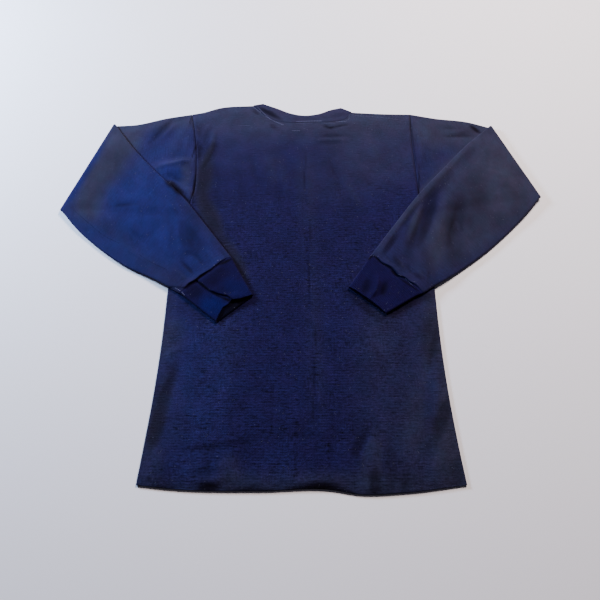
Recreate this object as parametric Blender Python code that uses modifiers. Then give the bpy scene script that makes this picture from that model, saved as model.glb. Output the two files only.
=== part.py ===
"""Long-sleeved knitted thermal top, laid flat with its back up.

The front panel lies on the surface and the back panel lies on it. Each sleeve is an open
flattened tube that leaves its armhole straight out, turns over at the elbow and comes back
across the back panel, with a ribbed cuff on its end. A neckband of rib closes the neck.

Tables are in millimetres, with X across the garment, Y from hem to neck and Z up. The
wearer's left is at -X. Each object's mesh is in metres, with the origin on the surface
below the middle of the garment.
"""
import math
from collections import namedtuple

import bmesh
import bpy
import numpy as np

MM = 0.001

# ---------------------------------------------------------------- cloth and gaps
WALL = 1.5             # body and sleeve knit, one layer
CUFF_WALL = 2.0        # doubled rib of a cuff
SEAM_GAP = 0.3         # between sewn pieces, and between the two walls of a flat tube
LAYER_GAP = 0.8        # between a forearm and what it lies on
STACK = 2 * WALL + SEAM_GAP      # two layers of cloth lying on each other
BEND_HEIGHT = 4.7      # the elbow's fold turns about a line this far above the surface
BEND_FADE = 20.0       # how far from the elbow the fold's extra loft reaches
DROP_START = 12.0      # a forearm stays level this far past the edge of what is under it
DROP_RUN = 26.0        # and is down on the surface this much further on
EDGE_RUN = 22.0        # a lofted wall reaches its full height this far inside its edge

# ---------------------------------------------------------------- body outline
Side = namedtuple("Side", "place y left right")
SIDES = [
    Side("hem", -367, -263, 262),
    Side("low hip", -306, -256.5, 254.5),
    Side("hip", -230, -249, 247),
    Side("waist", -130, -242.5, 241),
    Side("chest", -30, -240, 239),
    Side("underarm", 114, -238, 237),
]
ARMHOLES = [
    Side("underarm", 114, -238, 237),
    Side("under curve", 126, -222, 228),
    Side("low", 160, -209, 225),
    Side("middle", 243, -206, 221),
    Side("high", 300, -212, 219),
    Side("shoulder", 356, -222, 221),
]
Point = namedtuple("Point", "x y")
HEM = [
    Point(-263, -367), Point(-205, -373), Point(-66, -376), Point(44, -374),
    Point(92, -381), Point(161, -379), Point(262, -367),
]
SHOULDER_LEFT = [Point(-222, 356), Point(-199, 361), Point(-167, 372), Point(-98, 378)]
SHOULDER_RIGHT = [Point(102, 361), Point(160, 357.5), Point(221, 356)]
BACK_NECK = [
    Point(-98, 378), Point(-78, 356), Point(-56, 342), Point(-30, 336), Point(20, 337),
    Point(62, 338), Point(88, 344), Point(102, 361),
]
BACK_NECK_EDGE = [
    Point(-77, 382), Point(-52, 372), Point(-20, 358), Point(6, 353), Point(34, 357),
    Point(62, 368), Point(79, 372),
]
FRONT_NECK = [
    Point(-98, 378), Point(-95, 340), Point(-62, 290), Point(2, 270), Point(66, 286),
    Point(99, 335), Point(102, 361),
]
FRONT_NECK_EDGE = [
    Point(-77, 382), Point(-75, 342), Point(-50, 306), Point(2, 290), Point(54, 303),
    Point(79, 338), Point(79, 372),
]

# ---------------------------------------------------------------- sleeves, laid straight out
# out is the distance from the middle of the garment, on either side
Station = namedtuple("Station", "place top_out top_y low_out low_y")
SLEEVE_LEFT = [
    Station("armhole", 222, 356, 238, 114),
    Station("upper arm", 270, 347, 300, 117),
    Station("above elbow", 335, 330, 385, 126),
    Station("elbow", 378, 329, 457, 131),
    Station("below elbow", 456, 318, 505, 128),
    Station("forearm", 540, 312, 570, 130),
    Station("mid forearm", 614, 309, 635, 140),
    Station("low forearm", 690, 297, 695, 159),
    Station("cuff seam", 762, 285, 749, 172),
    Station("cuff end", 847, 259, 837, 179),
]
SLEEVE_RIGHT = [
    Station("armhole", 221, 356, 237, 114),
    Station("upper arm", 270, 346, 300, 128),
    Station("above elbow", 335, 337, 385, 144),
    Station("elbow", 382, 325, 457, 159),
    Station("below elbow", 455, 335, 503, 160),
    Station("forearm", 521, 337, 562, 163),
    Station("mid forearm", 610, 338, 630, 172),
    Station("low forearm", 690, 332, 695, 187),
    Station("cuff seam", 769, 325, 761, 208),
    Station("cuff end", 845, 315, 841, 233),
]
ELBOW = 3              # row of the elbow in both tables
CUFF_SEAM = 8          # row of the cuff seam in both tables

# ---------------------------------------------------------------- largest folds
# each runs from a to b as a soft ridge, or as a trough where its height is negative
Fold = namedtuple("Fold", "place ax ay bx by half_width height")
BODY_PUFF = 2.0        # loft of the back panel away from its edges
BODY_FOLDS = [
    Fold("centre back, upper", 6, 290, 18, 50, 16, 1.0),
    Fold("centre back, lower", 18, 50, 28, -290, 16, 0.8),
    Fold("beside left forearm", -180, 250, -166, 100, 20, -1.5),
    Fold("below left shoulder", -196, 330, -198, 250, 14, -1.4),
    Fold("left hip trough", -232, -220, -240, -312, 14, -1.5),
    Fold("left hip ridge", -206, -190, -210, -320, 18, 1.4),
    Fold("right waist trough", 224, -90, 218, -170, 14, -1.4),
    Fold("right hip trough", 232, -225, 216, -310, 14, -1.5),
    Fold("right hip ridge", 196, -200, 178, -330, 20, 1.2),
    Fold("hem ridge", 116, -290, 108, -366, 14, 2.6),
    Fold("hem trough", 140, -300, 146, -366, 12, -1.2),
    Fold("hem left ridge", -120, -320, -112, -366, 16, 1.6),
    Fold("hem left trough", -150, -320, -154, -366, 12, -1.4),
    Fold("below neck", -60, 262, -40, 180, 18, 0.9),
    Fold("left sleeve head trough", -262, 338, -296, 285, 10, -1.6),
    Fold("left sleeve head ridge", -236, 318, -256, 262, 11, 1.5),
    Fold("left armpit ridge", -286, 228, -214, 243, 9, 3.4),
    Fold("left armpit bunch", -262, 196, -218, 158, 9, 2.6),
    Fold("left armpit hollow", -258, 214, -228, 200, 7, -2.0),
    Fold("right sleeve head", 250, 330, 262, 240, 14, 1.2),
    Fold("right sleeve top", 285, 322, 345, 306, 9, -1.0),
]
FOREARM_PUFF = 3.0     # loft of a forearm's upper wall away from its edges
FOREARM_RISE = 50.0    # that loft is reached this far past the elbow
ROUNDING = 0.7         # how squarely a tube's upper wall bulges, below 1 for a flat top
FOREARM_FOLDS_LEFT = [
    Fold("behind elbow", -378, 262, -396, 140, 20, -1.2),
    Fold("middle", -318, 220, -262, 70, 22, 1.2),
    Fold("low ridge", -266, 110, -232, 20, 16, 1.8),
    Fold("low trough", -222, 98, -178, 34, 12, -1.6),
    Fold("upper edge", -230, 188, -150, 80, 14, 1.0),
]
FOREARM_FOLDS_RIGHT = [
    Fold("rolled edge, upper", 350, 288, 244, 168, 12, 1.6),
    Fold("rolled edge, lower", 244, 168, 140, 44, 12, 1.8),
    Fold("long trough", 256, 190, 194, 30, 10, -2.4),
    Fold("long ridge", 282, 170, 238, 40, 12, 2.0),
    Fold("outer trough", 300, 150, 280, 56, 10, -1.6),
    Fold("elbow", 384, 214, 372, 180, 34, 1.2),
]
CUFF_HOLLOW = 2.4      # open height between a cuff's two walls
CUFF_RECESS_LEFT = 13.0
CUFF_RECESS_RIGHT = 3.0
CUFF_FOLDS_LEFT = [
    Fold("upper wall", -176, -6, -112, -36, 14, 1.2),
    Fold("step", -190, -26, -136, -62, 8, -1.8),
]
CUFF_FOLDS_RIGHT = [
    Fold("bump", 141, 0, 136, -30, 8, 2.4),
    Fold("beside bump", 155, -2, 152, -28, 8, -1.2),
]

# ---------------------------------------------------------------- how finely pieces are divided
CURVE_STEPS = 24       # between two points of a table
SIDE_STEPS = 22
ARMHOLE_STEPS = 11     # also round each wall of a sleeve
SHOULDER_STEPS = 7
NECK_STEPS = 16
HEM_STEPS = 24
UPPER_ARM_STEPS = 8
BEND_STEPS = 6
FOREARM_STEPS = 18
CUFF_STEPS = 6
CUFF_ACROSS = 10       # round each wall of a cuff

# ---------------------------------------------------------------- colours, from the cloth
Cloth = namedtuple("Cloth", "name colour roughness")
BODY_CLOTH = Cloth("navy thermal knit", (0.012, 0.016, 0.068, 1.0), 0.9)
SLEEVE_CLOTH = Cloth("navy sleeve knit", (0.011, 0.021, 0.090, 1.0), 0.9)
RIB_CLOTH = Cloth("navy rib", (0.009, 0.011, 0.055, 1.0), 0.92)


# ---------------------------------------------------------------- curves
def spline(points, steps):
    """Return steps + 1 points, evenly spaced along a smooth curve through the points."""
    knots = np.array([(p[0], p[1]) for p in points], dtype=float)
    lengths = np.linalg.norm(np.diff(knots, axis=0), axis=1)
    at = np.concatenate([[0.0], np.cumsum(lengths)])
    slopes = np.gradient(knots, at, axis=0)
    fine = []
    for i, span in enumerate(lengths):
        t = np.linspace(0.0, 1.0, CURVE_STEPS, endpoint=False)[:, None]
        fine.append((2 * t**3 - 3 * t**2 + 1) * knots[i] + (t**3 - 2 * t**2 + t) * span * slopes[i]
                    + (3 * t**2 - 2 * t**3) * knots[i + 1] + (t**3 - t**2) * span * slopes[i + 1])
    return even(np.vstack(fine + [knots[-1:]]), np.linspace(0.0, 1.0, steps + 1))


def even(points, fractions):
    """Return the points at the given fractions of the length of a polyline."""
    points = np.asarray(points, dtype=float)
    at = np.concatenate([[0.0], np.cumsum(np.linalg.norm(np.diff(points, axis=0), axis=1))])
    want = np.asarray(fractions) * at[-1]
    return np.column_stack([np.interp(want, at, points[:, 0]), np.interp(want, at, points[:, 1])])


def shifted(points, distance):
    """Return a polyline moved to the left of its direction of travel by a distance."""
    along = np.gradient(points, axis=0)
    along /= np.linalg.norm(along, axis=1)[:, None]
    return points + distance * np.column_stack([-along[:, 1], along[:, 0]])


def smooth(t):
    """Return a soft step from 0 to 1."""
    t = min(max(t, 0.0), 1.0)
    return t * t * (3.0 - 2.0 * t)


SIDE_LEFT = spline([(s.left, s.y) for s in SIDES], SIDE_STEPS)
SIDE_RIGHT = spline([(s.right, s.y) for s in SIDES], SIDE_STEPS)
ARMHOLE_LEFT = spline([(s.left, s.y) for s in ARMHOLES], ARMHOLE_STEPS)
ARMHOLE_RIGHT = spline([(s.right, s.y) for s in ARMHOLES], ARMHOLE_STEPS)
SEAM_BACK = spline(BACK_NECK, NECK_STEPS)
SEAM_FRONT = spline(FRONT_NECK, NECK_STEPS)
SHOULDERS = (spline(SHOULDER_LEFT, SHOULDER_STEPS), spline(SHOULDER_RIGHT, SHOULDER_STEPS))


# ---------------------------------------------------------------- heights
def stack_outline():
    """Return the outline of the two panels and both upper arms, as one closed polygon."""
    rows = []
    for side, table in ((-1, SLEEVE_LEFT), (1, SLEEVE_RIGHT)):
        low = [(side * s.low_out, s.low_y) for s in table[:ELBOW + 1]]
        top = [(side * s.top_out, s.top_y) for s in reversed(table[:ELBOW + 1])]
        rows.append(spline(low, UPPER_ARM_STEPS).tolist() + spline(top, UPPER_ARM_STEPS).tolist())
    left, right = rows
    shoulder_left, shoulder_right = SHOULDERS
    return np.array(
        SIDE_LEFT.tolist() + left + shoulder_left.tolist() + SEAM_BACK.tolist()
        + shoulder_right.tolist() + right[::-1] + SIDE_RIGHT[::-1].tolist()
        + spline(HEM, HEM_STEPS)[::-1].tolist())


OUTLINE = stack_outline()


def depth_inside(x, y):
    """Return how far a place lies inside the outline, or outside it where negative."""
    a = OUTLINE
    b = np.roll(OUTLINE, -1, axis=0)
    run = b - a
    size = np.maximum((run**2).sum(axis=1), 1e-9)
    t = np.clip(((x - a[:, 0]) * run[:, 0] + (y - a[:, 1]) * run[:, 1]) / size, 0.0, 1.0)
    distance = np.hypot(a[:, 0] + t * run[:, 0] - x, a[:, 1] + t * run[:, 1] - y).min()
    crosses = (a[:, 1] > y) != (b[:, 1] > y)
    with np.errstate(divide="ignore", invalid="ignore"):
        reach = a[:, 0] + (y - a[:, 1]) * run[:, 0] / run[:, 1]
    inside = np.count_nonzero(crosses & (x < reach)) % 2
    return distance if inside else -distance


def folds_at(x, y, folds):
    """Return the summed height of soft ridges and troughs at a place."""
    total = 0.0
    for fold in folds:
        run_x, run_y = fold.bx - fold.ax, fold.by - fold.ay
        t = ((x - fold.ax) * run_x + (y - fold.ay) * run_y) / (run_x**2 + run_y**2)
        t = min(max(t, 0.0), 1.0)
        away = math.hypot(x - fold.ax - t * run_x, y - fold.ay - t * run_y)
        total += fold.height * math.exp(-(away / fold.half_width) ** 2)
    return total


def body_loft(x, y):
    """Return how far the upper of the two body layers stands off the lower one."""
    depth = max(depth_inside(x, y), 0.0)
    return smooth(depth / EDGE_RUN) * max(BODY_PUFF + folds_at(x, y, BODY_FOLDS), 0.0)


def support(x, y):
    """Return the height of what a folded-over forearm or cuff lies on."""
    depth = depth_inside(x, y)
    if depth >= 0.0:
        return STACK + body_loft(x, y)
    return STACK * (1.0 - smooth((-depth - DROP_START) / DROP_RUN))


# ---------------------------------------------------------------- sleeve shape
Elbow = namedtuple("Elbow", "axis out")


def elbow_of(table):
    """Return a point of the fold's axis and the direction that points out past the fold."""
    row = table[ELBOW]
    top = np.array([row.top_out, row.top_y])
    low = np.array([row.low_out, row.low_y])
    along = (top - low) / np.linalg.norm(top - low)
    out = np.array([along[1], -along[0]])
    return Elbow(low - BEND_HEIGHT * out, out)


BEND_RADIUS = BEND_HEIGHT - STACK / 2       # of the middle of the folded stack
BEND_LENGTH = math.pi * BEND_RADIUS


def folded(place, height, side, elbow, lift):
    """Return where a point of the straight sleeve goes once the sleeve is folded.

    place is on the straight sleeve, height is above the surface there, and lift is how far
    the forearm's upper wall stands up where the point belongs to that wall.
    """
    past = float(np.dot(place - elbow.axis, elbow.out))
    if past <= 0.0:
        x, y = side * place[0], place[1]
        return x, y, height + (body_loft(x, y) if height > STACK / 2 else 0.0)
    if past < BEND_LENGTH:
        angle = past / BEND_RADIUS
        radius = BEND_HEIGHT - height
        spot = place + (radius * math.sin(angle) - past) * elbow.out
        return side * spot[0], spot[1], BEND_HEIGHT - radius * math.cos(angle)
    spot = place + (BEND_LENGTH - 2.0 * past) * elbow.out
    x, y = side * spot[0], spot[1]
    lying = support(x, y) + LAYER_GAP + STACK
    fade = math.exp(-((past - BEND_LENGTH) / BEND_FADE) ** 2)
    return x, y, lying + (2.0 * BEND_HEIGHT - lying) * fade - height + lift


def section_ends(table):
    """Return the low and top ends of every section of a straight sleeve, armhole to cuff."""
    elbow = elbow_of(table)
    ends = []
    for part, steps, shift in (("upper", UPPER_ARM_STEPS, 0.0), ("lower", FOREARM_STEPS, BEND_LENGTH)):
        rows = table[:ELBOW + 1] if part == "upper" else table[ELBOW:CUFF_SEAM + 1]
        pair = []
        for names in (("low_out", "low_y"), ("top_out", "top_y")):
            line = np.array([[getattr(row, name) for name in names] for row in rows], dtype=float)
            at_elbow = -1 if part == "upper" else 0
            line[at_elbow] += (shift - BEND_HEIGHT) * elbow.out
            pair.append(spline(line, steps))
        ends.append(list(zip(*pair)))
    bend = []
    for step in range(1, BEND_STEPS):
        move = BEND_LENGTH * step / BEND_STEPS * elbow.out
        bend.append((ends[0][-1][0] + move, ends[0][-1][1] + move))
    return ends[0] + bend + ends[1]


def ring_places(width, wall, gap, steps):
    """Return (fraction across, height) pairs round the outer and the inner face of a tube.

    The tube is pressed flat, width across, with the gap between its walls. Its lower wall
    lies on the surface.
    """
    thick = 2.0 * wall + gap
    rings = []
    for inset, low, high in ((0.0, 0.0, thick), (wall, wall, wall + gap)):
        round_off = (high - low) / 2.0
        first = (inset + round_off) / width
        across = [first] + [k / steps for k in range(1, steps)] + [1.0 - first]
        ring = [(f, high) for f in across] + [(1.0 - inset / width, thick / 2.0)]
        ring += [(f, low) for f in reversed(across)] + [(inset / width, thick / 2.0)]
        rings.append(ring)
    return rings


def sleeve_rings(side, table, armhole, folds):
    """Return the outer and inner rings of a folded sleeve, from the armhole to the cuff."""
    elbow = elbow_of(table)
    ends = section_ends(table)
    edge = shifted(armhole, side * -SEAM_GAP)
    sections = []
    for number, (low, top) in enumerate(ends):
        width = np.linalg.norm(top - low)
        near = smooth(1.0 - number / UPPER_ARM_STEPS)
        past = max(float(np.dot((low + top) / 2.0 - elbow.axis, elbow.out)) - BEND_LENGTH, 0.0)
        rings = []
        for ring in ring_places(width, WALL, SEAM_GAP, ARMHOLE_STEPS):
            points = []
            for fraction, height in ring:
                place = low + fraction * (top - low)
                curve = even(edge, [fraction])[0] * (side, 1.0)
                straight = ends[0][0] + fraction * (ends[0][1] - ends[0][0])
                place = place + near * (curve - straight)
                lift = 0.0
                if past > 0.0 and height < STACK / 2:
                    x, y, _ = folded(place, height, side, elbow, 0.0)
                    across = math.sin(math.pi * fraction) ** ROUNDING
                    rise = smooth(past / FOREARM_RISE) * across
                    lift = rise * max(FOREARM_PUFF + folds_at(x, y, folds), 0.0)
                points.append(folded(place, height, side, elbow, lift))
            rings.append(points)
        sections.append(rings)
    return sections


def cuff_rings(side, table, folds, recess):
    """Return the outer and inner rings of a cuff, from its seam to its open end.

    recess is how far the middle of the upper wall stops short of the lower wall's end.
    """
    elbow = elbow_of(table)
    rows = np.array([row[1:] for row in table[CUFF_SEAM:]], dtype=float)
    tops, lows = rows[:, :2], rows[:, 2:]
    length = np.linalg.norm(lows[1] - lows[0])
    thick = 2.0 * CUFF_WALL + CUFF_HOLLOW
    sections = []
    for step in range(CUFF_STEPS + 1):
        along = SEAM_GAP / length + (1.0 - SEAM_GAP / length) * step / CUFF_STEPS
        width = np.linalg.norm(even(tops, [along]) - even(lows, [along]))
        rings = []
        for ring in ring_places(width, CUFF_WALL, CUFF_HOLLOW, CUFF_ACROSS):
            points = []
            for fraction, height in ring:
                bulge = math.sin(math.pi * fraction) ** ROUNDING if height < thick / 2.0 else 0.0
                at = along * (1.0 - bulge * recess / length)
                low, top = even(lows, [at])[0], even(tops, [at])[0]
                x, y, _ = folded(low + fraction * (top - low), 0.0, side, elbow, 0.0)
                lift = bulge * folds_at(x, y, folds)
                points.append((x, y, support(x, y) + LAYER_GAP + thick - height + lift))
            rings.append(points)
        sections.append(rings)
    return sections


# ---------------------------------------------------------------- neckband
def band_section(seam, edge):
    """Return the section of the back band between its seam and its free edge."""
    run = (edge - seam) / np.linalg.norm(edge - seam)
    start = seam + SEAM_GAP * run
    bevel = WALL / 4.0
    low = WALL + SEAM_GAP
    section = []
    for point, turn in ((start, 1.0), (edge, -1.0)):
        inner = point + turn * bevel * run
        corner = [(point, low + bevel), (point, low + WALL - bevel), (inner, low + WALL)]
        corner = [(inner, low)] + corner
        section += corner if turn > 0.0 else corner[::-1]
    return [(place[0], place[1], height) for place, height in section]


def turned(section, out, angle):
    """Return a back section turned over the shoulder fold towards the front."""
    middle = STACK / 2.0
    points = []
    for x, y, z in section:
        radius = z - middle
        points.append((x + out[0] * radius * math.sin(angle), y + out[1] * radius * math.sin(angle),
                       middle + radius * math.cos(angle)))
    return points


def band_sections():
    """Return the closed row of sections of the neckband, back first and then front."""
    back_edge, front_edge = spline(BACK_NECK_EDGE, NECK_STEPS), spline(FRONT_NECK_EDGE, NECK_STEPS)
    back = [band_section(s, e) for s, e in zip(SEAM_BACK, back_edge)]
    front = [[(x, y, STACK - z) for x, y, z in band_section(s, e)]
             for s, e in zip(SEAM_FRONT, front_edge)]
    folds = []
    for end, sign in ((-1, 1.0), (0, -1.0)):
        run = sign * (SEAM_BACK[end] - back_edge[end])
        out = np.array([-run[1], run[0]]) / np.linalg.norm(run)
        folds.append([turned(back[end], out, angle) for angle in
                      (0.25 * math.pi, 0.5 * math.pi, 0.75 * math.pi)])
    return back + folds[0] + front[::-1] + folds[1][::-1]


# ---------------------------------------------------------------- objects
def cloth_material(cloth):
    """Return the Principled material of a cloth, made once."""
    found = bpy.data.materials.get(cloth.name)
    if found:
        return found
    material = bpy.data.materials.new(cloth.name)
    material.use_nodes = True
    shader = material.node_tree.nodes["Principled BSDF"]
    shader.inputs["Base Color"].default_value = cloth.colour
    shader.inputs["Roughness"].default_value = cloth.roughness
    shader.inputs["Metallic"].default_value = 0.0
    return material


def place_object(name, data, cloth, collection):
    """Add an object for a piece, in its cloth, to the garment's collection."""
    piece = bpy.data.objects.new(name, data)
    data.materials.append(cloth_material(cloth))
    collection.objects.link(piece)
    return piece


def mesh_from(name, bm):
    """Finish a bmesh as a named mesh in metres."""
    bmesh.ops.scale(bm, vec=(MM, MM, MM), verts=bm.verts)
    mesh = bpy.data.meshes.new(name)
    bm.to_mesh(mesh)
    bm.free()
    return mesh


def bridge(bm, first, second, closed=True):
    """Join two rows of vertices with quads."""
    count = len(first)
    for k in range(count if closed else count - 1):
        after = (k + 1) % count
        bm.faces.new((first[k], first[after], second[after], second[k]))


def tube_mesh(name, sections):
    """Return an open tube with a wall, from its outer and inner rings."""
    bm = bmesh.new()
    rows = [[[bm.verts.new(point) for point in ring] for ring in rings] for rings in sections]
    for here, there in zip(rows, rows[1:]):
        bridge(bm, here[0], there[0])
        bridge(bm, there[1], here[1])
    bridge(bm, rows[0][1], rows[0][0])
    bridge(bm, rows[-1][0], rows[-1][1])
    bmesh.ops.recalc_face_normals(bm, faces=bm.faces)
    return mesh_from(name, bm)


def ring_mesh(name, sections):
    """Return a closed ring of cloth from its sections."""
    bm = bmesh.new()
    rows = [[bm.verts.new(point) for point in section] for section in sections]
    for here, there in zip(rows, rows[1:] + rows[:1]):
        bridge(bm, here, there)
    bmesh.ops.recalc_face_normals(bm, faces=bm.faces)
    return mesh_from(name, bm)


def between(low_row, top_row, left_column, right_column):
    """Return a grid of places that fills the four edges of a panel."""
    rows, columns = len(left_column), len(low_row)
    grid = np.zeros((rows, columns, 2))
    for i in range(rows):
        v = i / (rows - 1)
        for j in range(columns):
            u = j / (columns - 1)
            corners = ((1 - u) * (1 - v) * low_row[0] + u * (1 - v) * low_row[-1]
                       + (1 - u) * v * top_row[0] + u * v * top_row[-1])
            grid[i, j] = ((1 - v) * low_row[j] + v * top_row[j]
                          + (1 - u) * left_column[i] + u * right_column[i] - corners)
    return grid


def back_panel(collection):
    """The back, an open surface that gets its thickness upwards."""
    shoulder_left, shoulder_right = SHOULDERS
    top_row = np.vstack([shoulder_left, SEAM_BACK[1:], shoulder_right[1:]])
    left = np.vstack([SIDE_LEFT, ARMHOLE_LEFT[1:]])
    right = np.vstack([SIDE_RIGHT, ARMHOLE_RIGHT[1:]])
    grid = between(spline(HEM, len(top_row) - 1), top_row, left, right)
    bm = bmesh.new()
    rows = []
    for row in grid:
        rows.append([bm.verts.new((x, y, WALL + SEAM_GAP + body_loft(x, y))) for x, y in row])
    for here, there in zip(rows, rows[1:]):
        bridge(bm, here, there, closed=False)
    piece = place_object("back_panel", mesh_from("back_panel", bm), BODY_CLOTH, collection)
    wall = piece.modifiers.new("cloth thickness", "SOLIDIFY")
    wall.thickness = WALL * MM
    wall.offset = 1.0


def front_panel(collection):
    """The front, a flat outline that lies on the surface."""
    shoulder_left, shoulder_right = SHOULDERS
    outline = np.vstack([
        SIDE_LEFT, ARMHOLE_LEFT[1:], shoulder_left[1:], SEAM_FRONT[1:], shoulder_right[1:],
        ARMHOLE_RIGHT[-2::-1], SIDE_RIGHT[-2::-1], spline(HEM, HEM_STEPS)[-2:0:-1]])
    data = bpy.data.curves.new("front_panel", "CURVE")
    data.dimensions = "2D"
    data.fill_mode = "BOTH"
    data.extrude = WALL * MM / 2.0
    line = data.splines.new("POLY")
    line.points.add(len(outline) - 1)
    for point, (x, y) in zip(line.points, outline):
        point.co = (x * MM, y * MM, 0.0, 1.0)
    line.use_cyclic_u = True
    piece = place_object("front_panel", data, BODY_CLOTH, collection)
    piece.location.z = WALL * MM / 2.0


def main():
    for old in list(bpy.data.objects):
        bpy.data.objects.remove(old, do_unlink=True)
    collection = bpy.data.collections.new("Thermal top")
    bpy.context.scene.collection.children.link(collection)
    front_panel(collection)
    back_panel(collection)
    sleeves = (
        ("left", -1, SLEEVE_LEFT, ARMHOLE_LEFT, FOREARM_FOLDS_LEFT, CUFF_FOLDS_LEFT,
         CUFF_RECESS_LEFT),
        ("right", 1, SLEEVE_RIGHT, ARMHOLE_RIGHT, FOREARM_FOLDS_RIGHT, CUFF_FOLDS_RIGHT,
         CUFF_RECESS_RIGHT),
    )
    for name, side, table, armhole, arm_folds, cuff_folds, recess in sleeves:
        rings = sleeve_rings(side, table, armhole, arm_folds)
        place_object("sleeve_" + name, tube_mesh("sleeve_" + name, rings), SLEEVE_CLOTH, collection)
        rings = cuff_rings(side, table, cuff_folds, recess)
        place_object("cuff_" + name, tube_mesh("cuff_" + name, rings), RIB_CLOTH, collection)
    place_object("neckband", ring_mesh("neckband", band_sections()), RIB_CLOTH, collection)


main()
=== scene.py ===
# %% [markdown]
# # A navy thermal top, laid flat with its back up
#
# This lesson dresses a long-sleeved knitted top. The top lies on a pale table, face down, and
# both sleeves are turned over at the elbow so that the forearms lie across the back. Seven
# pieces were cut and sewn to make it: a front, a back, two sleeves, two ribbed cuffs and a
# ribbed neckband. Each one gets its own mesh here, with its own creases.
#
# Cloth could be simulated, but a garment that somebody has smoothed out by hand keeps exactly
# the folds that the hand left. Those are easier to place than to provoke, so each piece starts
# as a flat grid, like a piece of knit on the cutting table, and its corners are moved to where
# they lie. Sizes are in millimetres until a mesh is written, and X runs across the garment,
# Y from the hem to the neck, and Z up. The wearer's left is at -X.

import math
from collections import namedtuple

import bpy
import numpy as np
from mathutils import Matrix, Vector
from mathutils.bvhtree import BVHTree


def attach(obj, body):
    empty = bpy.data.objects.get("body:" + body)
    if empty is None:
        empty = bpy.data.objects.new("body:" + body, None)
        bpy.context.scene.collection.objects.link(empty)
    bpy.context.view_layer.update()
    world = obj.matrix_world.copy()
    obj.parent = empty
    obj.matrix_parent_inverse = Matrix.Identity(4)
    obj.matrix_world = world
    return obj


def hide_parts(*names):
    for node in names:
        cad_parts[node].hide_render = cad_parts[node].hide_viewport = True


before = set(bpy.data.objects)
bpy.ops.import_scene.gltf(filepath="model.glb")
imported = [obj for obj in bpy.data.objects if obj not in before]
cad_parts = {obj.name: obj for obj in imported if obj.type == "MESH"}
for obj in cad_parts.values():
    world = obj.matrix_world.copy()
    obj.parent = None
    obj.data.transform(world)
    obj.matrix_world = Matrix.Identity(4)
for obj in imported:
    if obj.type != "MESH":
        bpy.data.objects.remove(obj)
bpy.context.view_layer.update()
bpy.ops.object.select_all(action="DESELECT")
print("nodes:", sorted(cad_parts))

# %% [markdown]
# ## Camera
#
# Somebody stood at the hem and looked down at the garment, so the camera is about a metre up,
# a little past the hem, and tilted 22 degrees towards the neck. A 36 mm lens on a 36 mm wide
# sensor takes in 53 degrees, which is what a telephone does at arm's length.

# %% Place the camera
CAMERA_PLACE = (-0.003, -0.451, 0.993)
CAMERA_TILT = math.radians(22.0)
LENS_MM = 36.0

bpy.ops.object.camera_add(location=CAMERA_PLACE, rotation=(CAMERA_TILT, 0.0, 0.0))
camera = bpy.context.object
camera.name = "camera"
camera.data.lens = LENS_MM
camera.data.sensor_width = LENS_MM
bpy.context.scene.camera = camera
print("camera", CAMERA_PLACE, "tilt", round(math.degrees(CAMERA_TILT), 1))

# %% [markdown]
# ## The cut of the garment
#
# A cutter works from a few measured points and joins them with smooth curves. The tables below
# are those points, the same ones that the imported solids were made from. The body widens
# towards the hem. The sleeves are given as if they lay straight out, because the fold at the
# elbow is made later by turning the cloth over.

# %% Measured points of the body
MM = 0.001
WALL = 1.5             # body and sleeve knit, one layer
CUFF_WALL = 2.0        # doubled rib
SEAM_GAP = 0.3         # between two pieces at a seam, and between two layers
STACK = 2 * WALL + SEAM_GAP
ROLL = STACK / 2       # radius of a folded edge of the body

Side = namedtuple("Side", "place y left right")
SIDES = [
    Side("hem", -367, -263, 262),
    Side("low hip", -306, -256.5, 254.5),
    Side("hip", -230, -249, 247),
    Side("waist", -130, -242.5, 241),
    Side("chest", -30, -240, 239),
    Side("underarm", 114, -238, 237),
]
ARMHOLES = [
    Side("underarm", 114, -238, 237),
    Side("under curve", 126, -222, 228),
    Side("low", 160, -209, 225),
    Side("middle", 243, -206, 221),
    Side("high", 300, -212, 219),
    Side("shoulder", 356, -222, 221),
]
HEM = [(-263, -367), (-205, -373), (-66, -376), (44, -374), (92, -381), (161, -379), (262, -367)]
SHOULDER_LEFT = [(-222, 356), (-199, 361), (-167, 372), (-98, 378)]
SHOULDER_RIGHT = [(102, 361), (160, 357.5), (221, 356)]
BACK_NECK = [(-98, 378), (-78, 356), (-56, 342), (-30, 336), (20, 337), (62, 338), (88, 344),
             (102, 361)]
BACK_NECK_EDGE = [(-77, 382), (-52, 372), (-20, 358), (6, 353), (34, 357), (62, 368), (79, 372)]
FRONT_NECK = [(-98, 378), (-95, 340), (-62, 290), (2, 270), (66, 286), (99, 335), (102, 361)]
FRONT_NECK_EDGE = [(-77, 382), (-75, 342), (-50, 306), (2, 290), (54, 303), (79, 338), (79, 372)]

# %% Measured points of the sleeves, laid straight out
# out is the distance from the middle of the garment, on either side
Station = namedtuple("Station", "place top_out top_y low_out low_y")
SLEEVE_LEFT = [
    Station("armhole", 222, 356, 238, 114),
    Station("upper arm", 270, 347, 300, 117),
    Station("above elbow", 335, 330, 385, 126),
    Station("elbow", 378, 329, 457, 131),
    Station("below elbow", 456, 318, 505, 128),
    Station("forearm", 540, 312, 570, 130),
    Station("mid forearm", 614, 309, 635, 140),
    Station("low forearm", 690, 297, 695, 159),
    Station("cuff seam", 762, 285, 749, 172),
    Station("cuff end", 847, 259, 837, 179),
]
SLEEVE_RIGHT = [
    Station("armhole", 221, 356, 237, 114),
    Station("upper arm", 270, 346, 300, 128),
    Station("above elbow", 335, 337, 385, 144),
    Station("elbow", 382, 325, 457, 159),
    Station("below elbow", 455, 335, 503, 160),
    Station("forearm", 521, 337, 562, 163),
    Station("mid forearm", 610, 338, 630, 172),
    Station("low forearm", 690, 332, 695, 187),
    Station("cuff seam", 769, 325, 761, 208),
    Station("cuff end", 845, 315, 841, 233),
]
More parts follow.
